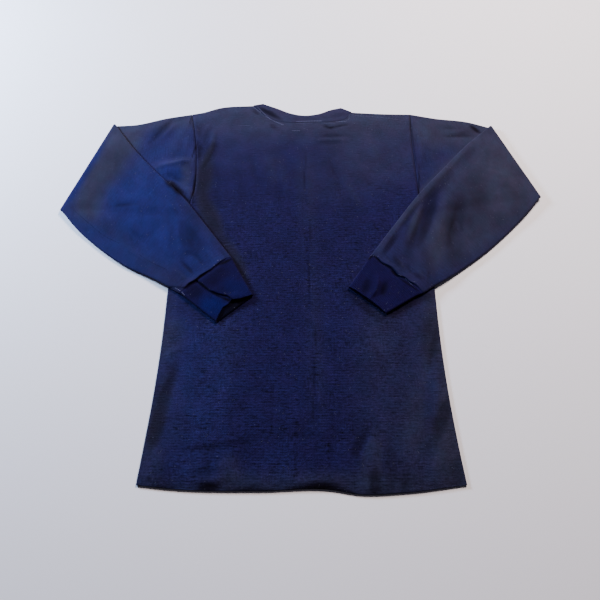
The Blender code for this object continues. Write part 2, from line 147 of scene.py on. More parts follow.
ELBOW = 3              # row of the elbow in both tables
CUFF_SEAM = 8          # row of the cuff seam in both tables
print("body", SIDES[0].right - SIDES[0].left, "mm wide at the hem")

# %% [markdown]
# ## Curves and distances
#
# Every piece is worked out with arrays, so the helpers take many places at once. `spline` draws
# a smooth curve through a table's points, `even` reads a curve at given fractions of its length,
# and `edged` crowds a few extra rows at both ends of a piece, where its edge is rounded and a
# coarse grid would cut the corner off.

# %% Curve helpers
CURVE_STEPS = 24       # between two points of a table
FINE_STEPS = 400       # along a whole curve
EDGE_ROWS = (0.25, 0.7, 1.4, 2.4)      # extra rows this far from an edge


def smooth(t):
    """Return a soft step from 0 to 1."""
    t = np.clip(t, 0.0, 1.0)
    return t * t * (3.0 - 2.0 * t)


def bell(distance, width):
    """Return a soft bump that is 1 where the distance is 0 and fades over a width."""
    return np.exp(-(distance / width)**2)


def unit(directions):
    """Return rows of directions, each brought to a length of one."""
    return directions / np.linalg.norm(directions, axis=1)[:, None]


def lengths_along(line):
    """Return how far along a line each of its places is."""
    return np.concatenate([[0.0], np.cumsum(np.linalg.norm(np.diff(line, axis=0), axis=1))])


def length_of(line):
    """Return the length of a line."""
    return np.linalg.norm(np.diff(line, axis=0), axis=1).sum()


def even(points, fractions):
    """Return the places at the given fractions of the length of a line."""
    points = np.asarray(points, dtype=float)
    at = lengths_along(points)
    want = np.asarray(fractions) * at[-1]
    return np.stack([np.interp(want, at, points[:, k]) for k in range(points.shape[1])], axis=-1)


def spline(points, steps=FINE_STEPS):
    """Return steps + 1 evenly spaced places on a smooth curve through the points."""
    knots = np.array(points, dtype=float)
    lengths = np.linalg.norm(np.diff(knots, axis=0), axis=1)
    slopes = np.gradient(knots, lengths_along(knots), axis=0)
    t = np.linspace(0.0, 1.0, CURVE_STEPS, endpoint=False)[:, None]
    fine = []
    for i, span in enumerate(lengths):
        fine.append((2 * t**3 - 3 * t**2 + 1) * knots[i] + (t**3 - 2 * t**2 + t) * span * slopes[i]
                    + (3 * t**2 - 2 * t**3) * knots[i + 1] + (t**3 - t**2) * span * slopes[i + 1])
    return even(np.vstack(fine + [knots[-1:]]), np.linspace(0.0, 1.0, steps + 1))


def edged(steps, length, start=True, end=True):
    """Return fractions from 0 to 1 in even steps, with the extra rows near the chosen ends."""
    extra = np.array(EDGE_ROWS) / length
    margin = 2.0 * extra[-1]
    middle = np.linspace(margin if start else 0.0, 1.0 - (margin if end else 0.0), steps + 1)
    first = np.concatenate([[0.0], extra]) if start else []
    last = np.concatenate([1.0 - extra[::-1], [1.0]]) if end else []
    return np.concatenate([first, middle, last])


SIDE_LEFT = spline([(s.left, s.y) for s in SIDES])
SIDE_RIGHT = spline([(s.right, s.y) for s in SIDES])
ARMHOLE_LEFT = spline([(s.left, s.y) for s in ARMHOLES])
ARMHOLE_RIGHT = spline([(s.right, s.y) for s in ARMHOLES])
HEM_LINE = spline(HEM)
SHOULDERS = (spline(SHOULDER_LEFT), spline(SHOULDER_RIGHT))
SEAM_BACK, SEAM_FRONT = spline(BACK_NECK), spline(FRONT_NECK)
EDGE_BACK, EDGE_FRONT = spline(BACK_NECK_EDGE), spline(FRONT_NECK_EDGE)
print("side seam", round(length_of(SIDE_LEFT)), "mm, armhole", round(length_of(ARMHOLE_LEFT)), "mm")

# %% Distances from a line and from the garment's outline
CHUNK = 4000           # places worked on at once
TINY = 1e-9            # keeps a division by the length of nothing away
COARSE = 4             # distances are taken to every fourth place of a fine curve
OUTLINE_SKIP = 12      # and the outline takes every twelfth


def distance_to(xy, line, closed=False):
    """Return how far each place is from a line."""
    a = line
    b = np.roll(line, -1, axis=0)
    if not closed:
        a, b = a[:-1], b[:-1]
    run = b - a
    size = np.maximum((run**2).sum(axis=1), TINY)
    away = np.empty(len(xy))
    for first in range(0, len(xy), CHUNK):
        rel = xy[first:first + CHUNK, None, :] - a
        t = np.clip((rel * run).sum(axis=2) / size, 0.0, 1.0)
        away[first:first + CHUNK] = np.linalg.norm(rel - t[..., None] * run, axis=2).min(axis=1)
    return away


def within(xy, outline):
    """Return True for each place that a closed outline holds."""
    a = outline
    b = np.roll(outline, -1, axis=0)
    rise = np.where(b[:, 1] == a[:, 1], TINY, b[:, 1] - a[:, 1])
    held = np.empty(len(xy), dtype=bool)
    for first in range(0, len(xy), CHUNK):
        x, y = xy[first:first + CHUNK, 0:1], xy[first:first + CHUNK, 1:2]
        crosses = (a[:, 1] > y) != (b[:, 1] > y)
        reach = a[:, 0] + (y - a[:, 1]) * (b[:, 0] - a[:, 0]) / rise
        held[first:first + CHUNK] = (crosses & (x < reach)).sum(axis=1) % 2 == 1
    return held


def arm_edges(side, table):
    """Return the low and the top edge of an upper arm, from the armhole to the elbow."""
    rows = table[:ELBOW + 1]
    return (spline([(side * s.low_out, s.low_y) for s in rows]),
            spline([(side * s.top_out, s.top_y) for s in rows]))


LOW_LEFT, TOP_LEFT = arm_edges(-1, SLEEVE_LEFT)
LOW_RIGHT, TOP_RIGHT = arm_edges(1, SLEEVE_RIGHT)
OUTLINE = np.vstack([line[::OUTLINE_SKIP] for line in (
    SIDE_LEFT, LOW_LEFT, TOP_LEFT[::-1], SHOULDERS[0], SEAM_BACK, SHOULDERS[1], TOP_RIGHT,
    LOW_RIGHT[::-1], SIDE_RIGHT[::-1], HEM_LINE[::-1])])


def depth_inside(xy):
    """Return how far each place lies inside the outline, or outside it where negative."""
    away = distance_to(xy, OUTLINE, closed=True)
    return np.where(within(xy, OUTLINE), away, -away)


print("the outline has", len(OUTLINE), "points")

# %% [markdown]
# ## Folds and creases
#
# A crease in laid cloth is a low ridge or a shallow trough that runs from one place to another,
# bows a little, and is often steeper on one side. One row of a table says all that. `a` and `b`
# are its ends, `half_width` is how far it spreads, and `height` is negative for a trough. `bow`
# moves its middle to the left of its direction, and `lean` above 0 makes its left side softer.

# %% Fold helper
Fold = namedtuple("Fold", "place ax ay bx by half_width height bow lean", defaults=(0, 0))
END_RUN = 0.3          # share of a fold's length over which its end fades
END_HEIGHT = 0.3       # share of its height that is left at the end


def folds_at(xy, folds):
    """Return the summed height of soft ridges and troughs at each place."""
    total = np.zeros(len(xy))
    for fold in folds:
        run = np.array([fold.bx - fold.ax, fold.by - fold.ay], dtype=float)
        length = np.linalg.norm(run)
        run /= length
        rel = xy - (fold.ax, fold.ay)
        along = rel @ run
        t = np.clip(along / length, 0.0, 1.0)
        aside = rel @ np.array([-run[1], run[0]]) - fold.bow * 4.0 * t * (1.0 - t)
        width = fold.half_width * (1.0 + fold.lean * np.tanh(aside / fold.half_width))
        past = along - t * length
        taper = END_HEIGHT + (1.0 - END_HEIGHT) * smooth(np.minimum(t, 1.0 - t) / END_RUN)
        total += fold.height * taper * np.exp(-(aside / width)**2 - (past / fold.half_width)**2)
    return total


# %% Random swells
LATTICE = 256          # random heights each way, after which they repeat
LATTICE_TURN = np.array([[0.8, -0.6], [0.6, 0.8]])     # keeps their rows off the knit's courses


def mottle(xy, size, seed):
    """Return smooth random heights from -1 to 1, with swells about size millimetres across."""
    values = np.random.default_rng(seed).uniform(-1.0, 1.0, (LATTICE, LATTICE))
    at = (xy @ LATTICE_TURN) / size + LATTICE / 2
    cell = np.floor(at).astype(int)
    t = at - cell
    t = t**3 * (t * (6.0 * t - 15.0) + 10.0)
    i, j = cell[:, 0] % LATTICE, cell[:, 1] % LATTICE
    k, m = (i + 1) % LATTICE, (j + 1) % LATTICE
    low = values[i, j] * (1 - t[:, 0]) + values[k, j] * t[:, 0]
    high = values[i, m] * (1 - t[:, 0]) + values[k, m] * t[:, 0]
    return low * (1 - t[:, 1]) + high * t[:, 1]


def with_swells(heights, xy, swells, scale=1.0, seed=0):
    """Return the heights with random swells added, from rows of size, height and seed."""
    for size, height, number in swells:
        heights = heights + scale * height * mottle(xy, size, number + seed)
    return heights


# %% Folds of the body and the upper arms
BODY_PUFF = 2.0        # loft of the back panel away from its edges
EDGE_RUN = 22.0        # the loft is reached this far inside the outline
BODY_FOLDS = [
    Fold("centre back, upper", 6, 290, 18, 50, 16, 0.6),
    Fold("centre back, lower", 18, 50, 28, -290, 16, 0.5),
    Fold("beside left forearm", -180, 250, -166, 100, 20, -1.5),
    Fold("below left shoulder", -196, 330, -198, 250, 14, -1.0),
    Fold("left hip trough", -226, -200, -240, -312, 13, -1.5),
    Fold("left hip ridge", -200, -190, -208, -320, 18, 1.0),
    Fold("right waist trough", 224, -90, 218, -170, 14, -1.4),
    Fold("right hip trough", 232, -225, 216, -310, 12, -0.9),
    Fold("right hip ridge", 196, -200, 178, -330, 20, 1.2),
    Fold("hem ridge", 116, -290, 108, -366, 14, 2.6),
    Fold("hem trough", 140, -300, 146, -366, 12, -1.2),
    Fold("hem left ridge", -120, -320, -112, -366, 16, 1.6),
    Fold("hem left trough", -150, -320, -154, -366, 12, -1.4),
    Fold("below neck", -60, 262, -40, 180, 18, 0.9),
    Fold("left sleeve head trough", -262, 338, -296, 285, 10, -1.6),
    Fold("left sleeve head ridge", -236, 318, -256, 262, 11, 1.5),
    Fold("left armpit ridge", -286, 228, -214, 243, 9, 3.4),
    Fold("left armpit bunch", -262, 196, -218, 158, 9, 2.6),
    Fold("left armpit hollow", -252, 204, -228, 194, 6, -1.2),
    Fold("right sleeve head", 250, 330, 262, 240, 14, 1.2),
    Fold("right sleeve top", 285, 322, 345, 306, 9, -1.0),
]

# %% Creases of the body and the upper arms
BODY_CREASES = [
    Fold("centre crease, top", 4, 262, 10, 120, 2.6, -0.4, 0.5),
    Fold("centre crease, middle", 11, 110, 16, -110, 2.6, -0.45, -1),
    Fold("centre crease, low", 17, -120, 26, -300, 2.8, -0.4, 1),
    Fold("beside centre crease", -7, 250, 0, 60, 5, 0.15, -2),
    Fold("left of centre", -52, 250, -40, 130, 6, -0.5, 3),
    Fold("second left of centre", -98, 262, -84, 190, 7, -0.6, -3),
    Fold("third left of centre", -128, 236, -110, 130, 9, -0.6, 4),
    Fold("right of centre", 52, 250, 78, 150, 6, -0.5, 4),
    Fold("second right of centre", 84, 205, 118, 130, 6, 0.5, -3),
    Fold("third right of centre", 128, 300, 152, 236, 7, 0.5, 3),
    Fold("neck pucker, dark", 44, 329, 64, 320, 4, -1.1, -2, -0.3),
    Fold("neck pucker, right", 64, 320, 96, 330, 4, -1.0, 2, 0.3),
    Fold("above neck pucker", 52, 336, 88, 336, 5, 0.7),
    Fold("neck ripple", 32, 299, 94, 301, 4, -0.8, 2, -0.4),
    Fold("neck ripple, low", 32, 284, 88, 286, 4, -0.6, -1, -0.4),
    Fold("between neck ripples", 30, 292, 92, 293, 3.5, 0.6),
    Fold("left shoulder fan, outer", -186, 330, -196, 280, 6, 0.7, -4),
    Fold("left shoulder fan, inner", -168, 322, -176, 272, 7, 0.7, -4),
    Fold("left shoulder streak", -208, 306, -186, 264, 4, 0.9, -2),
    Fold("left shoulder hollow", -168, 294, -188, 228, 6, -1.2, 5, 0.3),
    Fold("left chest trough", -190, 220, -180, 168, 10, -0.8, 4),
    Fold("beside forearm, upper", -176, 120, -140, 44, 14, -0.7, 3),
    Fold("beside forearm, lower", -130, 20, -92, -50, 14, -0.6, 3),
    Fold("seam shade, left", -203, 284, -198, 238, 4, -0.9),
    Fold("left side hollow", -212, -168, -232, -232, 8, -0.9, 3),
    Fold("left side hollow, low", -234, -256, -246, -318, 9, -0.9, 3),
    Fold("left side lip", -238, -160, -200, -138, 7, 0.8, 2),
    Fold("left waist facet", -226, -100, -218, -136, 11, -0.6, 2),
    Fold("left hem swell", -236, -300, -226, -352, 9, 0.7),
    Fold("right side hollow", 238, -102, 222, -170, 5, -1.1, -2),
    Fold("right side hollow, middle", 246, -226, 222, -292, 7, -1.2, -3),
    Fold("right side swell", 229, -180, 222, -252, 9, 1.1, 2),
    Fold("right hem hollow", 248, -326, 238, -358, 7, -0.9),
    Fold("right hem swell", 226, -306, 214, -356, 10, 0.8),
    Fold("hem patch", 108, -276, 88, -322, 8, -1.0, 4, 0.4),
    Fold("above hem, slant", 64, -262, 50, -300, 8, -0.5, -3),
    Fold("above hem, level", -205, -312, -66, -296, 6, -0.6, -5, -0.3),
    Fold("above hem, level right", -30, -292, 60, -300, 6, -0.45, 4),
    Fold("above hem, low left", -190, -344, -120, -338, 6, 0.6, 3),
    Fold("back swell, left", -150, -60, -130, -200, 26, 0.5, 8),
    Fold("back swell, right", 150, -40, 130, -180, 26, 0.5, -8),
    Fold("left arm, long crease", -259, 348, -300, 286, 4.5, -1.1, 3, 0.4),
    Fold("left arm, beside crease", -250, 344, -286, 292, 6, 0.9, 3),
    Fold("left arm, second crease", -236, 352, -262, 322, 4, -0.6, -2),
    Fold("left arm, head", -226, 306, -232, 262, 5, 0.7, 2),
    Fold("left arm, armpit lip", -286, 224, -212, 242, 3.0, 0.9, 2),
    Fold("left arm, armpit facet", -274, 214, -222, 222, 12, 2.3, 2),
    Fold("left arm, pinch", -262, 178, -234, 166, 5, -2.6, 2),
    Fold("left arm, pinch edge", -254, 196, -238, 172, 4, 1.7, -3),
    Fold("left arm, tuck", -232, 172, -212, 146, 4, -1.5, 2),
    Fold("left arm, tuck ridge", -224, 184, -207, 156, 4.5, 1.4, 2),
    Fold("right arm, crease", 288, 300, 336, 302, 4.5, -0.8, 2, -0.3),
    Fold("right arm, above crease", 286, 310, 340, 312, 5, 0.7, 2),
    Fold("right arm, notch", 338, 330, 358, 308, 6, -1.6, -2),
    Fold("right arm, head", 232, 330, 236, 240, 5, 0.6, 2),
    Fold("right arm, slant", 240, 268, 286, 250, 7, -0.6, 3),
]
ALL_BODY_FOLDS = BODY_FOLDS + BODY_CREASES
print("the body has", len(BODY_FOLDS), "folds and", len(BODY_CREASES), "creases")

# %% [markdown]
# ## Heights
#
# The front panel lies on the table and the back panel lies on the front, so the top of the
# garment is two walls and a little air above the table. The air is the loft. It fades out at
# the outline, where the cloth is folded, and each armhole seam pulls a narrow groove into it.

# %% Loft of the upper layer
BODY_CREASE_DEPTH = 1.6        # the creases in the table are this much deeper in the cloth
SWELLS = ((70.0, 0.34, 3), (31.0, 0.2, 11), (13.0, 0.07, 17))     # size, height and seed
SOFT_FLOOR = 0.35      # keeps the deepest troughs rounded


def above_floor(heights):
    """Return the heights with a soft floor at zero."""
    return 0.5 * (heights + np.sqrt(heights**2 + SOFT_FLOOR**2))


def loft(xy, detail=1.0):
    """Return how far the upper of the two body layers stands off the lower one."""
    depth = np.maximum(depth_inside(xy), 0.0)
    puff = BODY_PUFF + folds_at(xy, BODY_FOLDS)
    if detail:
        puff = puff + detail * BODY_CREASE_DEPTH * folds_at(xy, BODY_CREASES)
        puff = with_swells(puff, xy, SWELLS, detail)
    return smooth(depth / EDGE_RUN) * above_floor(puff)


# %% Relief of the seams
GROOVE_DEPTH = 1.5     # of the groove that an armhole seam pulls into the cloth
GROOVE_WIDTH = 1.2     # and its half width
SEAM_SWELL = 0.55      # height of the seam allowance beside the groove
SWELL_PLACE = 5.0      # how far from the seam it is
SWELL_WIDTH = 3.0      # and its half width
NECK_GROOVE = 0.5      # depth of the neck seam's groove
SEAM_RUN = 0.4 * EDGE_RUN      # the relief is whole this far inside the outline


def seam_relief(xy):
    """Return the groove and the swellings that the armhole and neck seams make."""
    total = np.zeros(len(xy))
    for line in (ARMHOLE_LEFT, ARMHOLE_RIGHT):
        away = distance_to(xy, line[::COARSE])
        total += SEAM_SWELL * bell(away - SWELL_PLACE, SWELL_WIDTH)
        total -= GROOVE_DEPTH * bell(away, GROOVE_WIDTH)
    total -= NECK_GROOVE * bell(distance_to(xy, SEAM_BACK[::COARSE]), GROOVE_WIDTH)
    return total * smooth(np.maximum(depth_inside(xy), 0.0) / SEAM_RUN)


def upper_layer(xy):
    """Return how far the outer face of the upper layer stands above a flat stack."""
    return loft(xy) + seam_relief(xy)


# %% What a forearm lies on
DROP_START = 8.0       # a forearm stays level this far past the edge of what is under it
DROP_RUN = 52.0        # and is down on the table this much further on


def support(xy, detail=1.0):
    """Return the height of what a folded-over forearm or cuff lies on."""
    depth = depth_inside(xy)
    inside = STACK + loft(xy, detail)
    outside = STACK * (1.0 - smooth((-depth - DROP_START) / DROP_RUN))
    return np.where(depth >= 0.0, inside, outside)


MIDDLE_OF_BACK = np.array([[0.0, 100.0]])
print("height of the middle of the back:", support(MIDDLE_OF_BACK).round(1)[0], "mm")

# %% [markdown]
# ## From a grid to a piece of cloth
#
# Blender's grid primitive is a flat cut piece. `lay` moves its corners to their places and
# writes where each one was on the cutting table as a UV map, so that the knit in the material
# follows the cloth round every fold. `finish_wall` closes a tube along its seam, gives the
# cloth its thickness with a Solidify modifier, and shades it smooth.

# %% Cloth helpers
CUT_MAP = "cut"        # name of the UV map
MERGE = 0.01 * MM      # corners closer than this are one
WALL_ANGLE = math.radians(50.0)        # faces that meet more steeply than this keep a hard edge


def corners_of(mesh, kind="co"):
    """Return the place, or another vector, of each corner of a mesh."""
    values = np.empty(len(mesh.vertices) * 3, dtype=np.float32)
    mesh.vertices.foreach_get(kind, values)
    return values.reshape(-1, 3)


def lay(name, places, pattern):
    """Add a flat grid, move its corners to their places, and keep its cut as a UV map."""
    rows, columns = places.shape[:2]
    bpy.ops.object.select_all(action="DESELECT")
    bpy.ops.mesh.primitive_grid_add(x_subdivisions=columns - 1, y_subdivisions=rows - 1, size=1.0)
    piece = bpy.context.object
    piece.name = name
    mesh = piece.data
    mesh.name = name
    start = corners_of(mesh)
    column = np.rint((start[:, 0] + 0.5) * (columns - 1)).astype(int)
    row = np.rint((start[:, 1] + 0.5) * (rows - 1)).astype(int)
    mesh.vertices.foreach_set("co", (places[row, column] * MM).astype(np.float32).ravel())
    corner = np.empty(len(mesh.loops), dtype=np.int32)
    mesh.loops.foreach_get("vertex_index", corner)
    flat = pattern[row[corner], column[corner]] * MM
    cut = mesh.uv_layers[0]
    cut.name = CUT_MAP
    cut.data.foreach_set("uv", flat.astype(np.float32).ravel())
    mesh.update()
    return piece


def finish_wall(piece, wall):
    """Merge the corners that meet, and give the cloth its thickness on its inner side."""
    bpy.context.view_layer.objects.active = piece
    bpy.ops.object.mode_set(mode="EDIT")
    bpy.ops.mesh.select_all(action="SELECT")
    bpy.ops.mesh.remove_doubles(threshold=MERGE)
    bpy.ops.object.mode_set(mode="OBJECT")
    if wall:
        thickness = piece.modifiers.new("cloth thickness", "SOLIDIFY")
        thickness.thickness = wall * MM
        thickness.offset = -1.0
        bpy.ops.object.modifier_apply(modifier=thickness.name)
    bpy.ops.object.shade_smooth_by_angle(angle=WALL_ANGLE)
    piece.data.calc_loop_triangles()
    return piece


# %% [markdown]
# ## The back panel
#
# The back is the large smooth shape that the eye sees first. Its grid fills the four edges of
# the cut: the hem below, a side and an armhole at each hand, and the shoulders and the neck
# above. Rows run level and columns upright, as the knit's courses and wales do. What a curved
# side adds to the straight grid fades out towards the middle, so that no cell is turned over
# beside the steep sides of the neck.

# %% Grid of a body panel
PANEL_CELL = 3.2       # millimetres between two rows of a panel
SIDE_FADE = 5          # how quickly a side's curve fades out towards the middle


def shares_of(line):
    """Return how far along a line each of its places is, from 0 to 1."""
    at = lengths_along(line)
    return at / at[-1]


def between(low_row, top_row, left_column, right_column):
    """Return a grid of places that fills the four edges of a panel."""
    u = shares_of(low_row)[None, :, None]
    v = shares_of(left_column)[:, None, None]
    straight = (1 - v) * low_row[None] + v * top_row[None]
    left = left_column[:, None] - straight[:, :1]
    right = right_column[:, None] - straight[:, -1:]
    return straight + (1 - u)**SIDE_FADE * left + u**SIDE_FADE * right


def panel_grid(neck, cell):
    """Return the grid of a body panel with the given neck line."""
    pieces = []
    for line, start, end in ((SHOULDERS[0], True, False), (neck, False, False),
                             (SHOULDERS[1], False, True)):
        length = length_of(line)
        fractions = edged(int(length / cell), length, start, end)
        pieces.append(even(line, fractions if not pieces else fractions[1:]))
    top_row = np.vstack(pieces)
    plain_steps = len(top_row) - 2 * len(EDGE_ROWS) - 3
    low_row = even(HEM_LINE, edged(plain_steps, length_of(HEM_LINE)))
    side_length, armhole_length = length_of(SIDE_LEFT), length_of(ARMHOLE_LEFT)
    lower = edged(int(side_length / cell), side_length, True, False)
    upper = edged(int(armhole_length / cell), armhole_length, False, True)
    columns = [np.vstack([even(side, lower), even(armhole, upper[1:])])
               for side, armhole in ((SIDE_LEFT, ARMHOLE_LEFT), (SIDE_RIGHT, ARMHOLE_RIGHT))]
    return between(low_row, top_row, *columns)


# %% Back panel
EDGE_ROLL = ROLL - SEAM_GAP / 2     # the two panels stay a seam's gap apart at their edges
HEM_ROLL = 0.75        # radius of the hem's rounded edge
CURL_EDGE = 1.5        # a curl of the hem reaches this far past the edge
CURL_RUN = 4.0         # and is whole this much further in
HEM_WAVES = [
    Fold("curl, left corner", -262, -352, -222, -360, 7, 1.1, 1),
    Fold("curl, left", -172, -360, -128, -362, 6, 1.8, 1),
    Fold("curl, left of centre", -112, -365, -58, -366, 6, 1.1, 0),
    Fold("curl, centre", -24, -364, 56, -366, 7, 2.4, 1),
    Fold("curl, right", 92, -371, 128, -370, 7, 1.8, -1),
    Fold("curl, right corner", 190, -366, 236, -362, 7, 0.9, 0),
]


def rolled(distance, radius):
    """Return how far a rounded edge falls below the face, at a distance from the edge."""
    inside = np.clip(distance, 0.0, radius)
    return radius - np.sqrt(np.maximum(radius**2 - (radius - inside)**2, 0.0))


def edge_fall(xy):
    """Return how far a panel turns down at its sides, shoulders and hem, and the hem's distance."""
    near = np.min([distance_to(xy, line[::COARSE])
                   for line in (SIDE_LEFT, SIDE_RIGHT, *SHOULDERS)], axis=0)
    hem = distance_to(xy, HEM_LINE[::COARSE])
    return rolled(near, EDGE_ROLL), rolled(hem, HEM_ROLL), hem


def build_back():
    """The back panel, seen from its face."""
    grid = panel_grid(SEAM_BACK, PANEL_CELL)
    xy = grid.reshape(-1, 2)
    fall, hem_fall, hem = edge_fall(xy)
    curls = folds_at(xy, HEM_WAVES) * smooth((hem + CURL_EDGE) / CURL_RUN)
    z = STACK + upper_layer(xy) + curls - fall - hem_fall
    places = np.dstack([grid, z.reshape(grid.shape[:2])])
    return finish_wall(lay("back", places, grid), WALL)


back = build_back()

# %% [markdown]
# ## The front panel
#
# The front hides under everything else, face down on the table. Only its edges show, but a part
# is turned over by whoever uses it, so it has its own creases. Where the cloth rests it stays
# flat on the table, and each crease lifts a narrow strip of it into the air below the back.

# %% Front panel
FRONT_CELL = 4.0       # millimetres between its rows, more than on the back, which shows
FRONT_LIFT = 0.45      # share of the loft above that a crease of the front may fill
FRONT_CREASES = [
    Fold("centre front", -6, 240, -16, -260, 6, 1.0, 6),
    Fold("left chest", -120, 210, -96, 60, 9, 1.0, 8),
    Fold("right chest", 128, 224, 96, 40, 8, 1.0, -9),
    Fold("below neck, left", -70, 250, -30, 180, 6, 0.9, -5),
    Fold("below neck, right", 74, 246, 28, 170, 6, 0.9, 5),
    Fold("left waist", -190, -40, -150, -200, 11, 1.0, -12),
    Fold("right waist", 186, -60, 160, -230, 10, 1.0, 10),
    Fold("left hem", -150, -250, -160, -350, 9, 0.9, 5),
    Fold("hem, centre", 30, -220, 46, -352, 10, 1.0, -6),
    Fold("right hem", 166, -266, 148, -354, 8, 0.9, 4),
    Fold("level, waist", -120, -120, 90, -136, 8, 0.8, 14),
    Fold("level, chest", -70, 90, 110, 78, 8, 0.8, -12),
    Fold("left armhole", -190, 250, -150, 150, 9, 0.9, 6),
    Fold("right armhole", 196, 262, 170, 150, 9, 0.9, -6),
]


def build_front():
    """The front panel, seen from its face, which is its lower side."""
    grid = panel_grid(SEAM_FRONT, FRONT_CELL)
    xy = grid.reshape(-1, 2)
    fall, hem_fall, _ = edge_fall(xy)
    crease = np.clip(folds_at(xy, FRONT_CREASES), 0.0, 1.0)
    z = FRONT_LIFT * crease * loft(xy, 0.0) + fall + hem_fall
    places = np.dstack([grid, z.reshape(grid.shape[:2])])
    return finish_wall(lay("front", places[:, ::-1], grid[:, ::-1]), WALL)


front = build_front()

# %% [markdown]
# ## The sleeves
#
# A sleeve is a tube, so its grid has one direction along the arm and one all the way round. The
# section of a flattened tube is two straight runs joined by two half circles. `ring_table`
# holds that shape without its size, so that every section can have its own width and roundness.
# The forearms are plumper than the upper arms, because nothing lies on them.
#
# The fold at the elbow works like paper wrapped round a rod. Up to the rod the cloth lies as it
# was, on the rod it follows a half turn, and past the rod it comes back over itself with its
# lower side up.

# %% Section of a flattened tube
QUARTER = 5            # points round a quarter of the tube's edge


def ring_table(across):
    """Return each ring point's share of a radius, share of the width, and height sign."""
    turn = np.linspace(0.0, math.pi / 2, QUARTER)
    run = np.linspace(0.0, 1.0, across + 1)[1:-1]
    edge = np.concatenate([1 - np.cos(turn), np.ones(len(run)), 1 + np.cos(turn[::-1])])
    width = np.concatenate([np.zeros(QUARTER), run, np.ones(QUARTER)])
    height = np.concatenate([np.sin(turn), np.ones(len(run)), np.sin(turn[::-1])])
    back = slice(-2, None, -1)
    return (np.concatenate([edge, edge[back]]), np.concatenate([width, width[back]]),
            np.concatenate([height, -height[back]]))


def tube_sections(low, top, radius, across):
    """Return the places of all sections, from their low and top ends and their radii."""
    edge, run, sign = ring_table(across)
    span = np.linalg.norm(top - low, axis=1)
    distance = radius[:, None] * edge + (span - 2 * radius)[:, None] * run
    share = distance / span[:, None]
    places = low[:, None] + share[..., None] * (top - low)[:, None]
    height = radius[:, None] * (1.0 + sign)
    return places, height, share


def lengths_round(sections):
    """Return how far round its section each place of a tube is."""
    step = np.linalg.norm(np.diff(sections, axis=1), axis=2)
    return np.concatenate([np.zeros((len(sections), 1)), np.cumsum(step, axis=1)], axis=1)


def cut_of(low, top, places, height):
    """Return the tube opened out flat: across its width all round, and along its middle."""
    along = lengths_along((low + top) / 2.0)
    around = lengths_round(np.dstack([places, height]))
    around -= around[:, -1:] / 2.0
    return np.dstack([around, np.repeat(along[:, None], places.shape[1], axis=1)])


print("a quarter of a tube's edge has", QUARTER, "points")

# %% The fold at the elbow
Elbow = namedtuple("Elbow", "axis out")
BEND_HEIGHT = 4.7      # the fold turns about a line this far above the table
BEND_RADIUS = BEND_HEIGHT - ROLL
BEND_LENGTH = math.pi * BEND_RADIUS
BEND_FADE = 20.0       # how far from the elbow the fold's extra loft reaches
LAYER_GAP = 0.8        # between a forearm and what it lies on
UNDER_ROOM = 1.2       # a crease below may rise this far before it lifts the forearm's upper side


def elbow_of(table):
    """Return a point of the fold's axis and the direction that points out past the fold."""
    row = table[ELBOW]
    top, low = np.array([row.top_out, row.top_y]), np.array([row.low_out, row.low_y])
    along = (top - low) / np.linalg.norm(top - low)
    out = np.array([along[1], -along[0]])
    return Elbow(low - BEND_HEIGHT * out, out)


def folded(places, height, radius, side, elbow, rise):
    """Return where the cloth of a straight sleeve lies once the sleeve is folded.

    rise takes the plan places and returns how far the forearm's upper side stands up there.
    """
    past = (places - elbow.axis) @ elbow.out
    shape = past.shape
    flip = np.array([side, 1.0])
    upper = height > radius[:, None]
    result = np.zeros(shape + (3,))
    before = past <= 0.0
    flat = places[before] * flip
    result[before, :2] = flat
    result[before, 2] = height[before] + np.where(upper[before], upper_layer(flat), 0.0)
    bend = (past > 0.0) & (past < BEND_LENGTH)
    angle = past[bend] / BEND_RADIUS
    arm = BEND_HEIGHT - height[bend]
    spot = places[bend] + (arm * np.sin(angle) - past[bend])[:, None] * elbow.out
    result[bend, :2] = spot * flip
    result[bend, 2] = BEND_HEIGHT - arm * np.cos(angle)
    after = past >= BEND_LENGTH
    beyond = past[after]
    spot = (places[after] + (BEND_LENGTH - 2.0 * beyond)[:, None] * elbow.out) * flip
    fat = np.broadcast_to(radius[:, None], shape)[after]
    fade = bell(beyond - BEND_LENGTH, BEND_FADE)
    over = ~upper[after]
    ground = support(spot)
    plain = np.maximum(support(spot, 0.0), ground - UNDER_ROOM)
    lying = np.where(over, plain, ground) + LAYER_GAP + 2.0 * fat
    stand = np.where(over, rise(spot, beyond - BEND_LENGTH, after), 0.0)
    result[after, :2] = spot
    result[after, 2] = lying + (2.0 * BEND_HEIGHT - lying) * fade - height[after] + stand
    return result


print("the cloth runs", round(BEND_LENGTH, 1), "mm round the fold at an elbow")

# %% [markdown]
# The two forearms lie differently. The left one is a broad flat blade with soft facets and one
# thin crease. The right one has a thick roll along the edge that points to the middle of the
# back, and two long valleys beside it. Each has the main folds of its solid and finer ones.

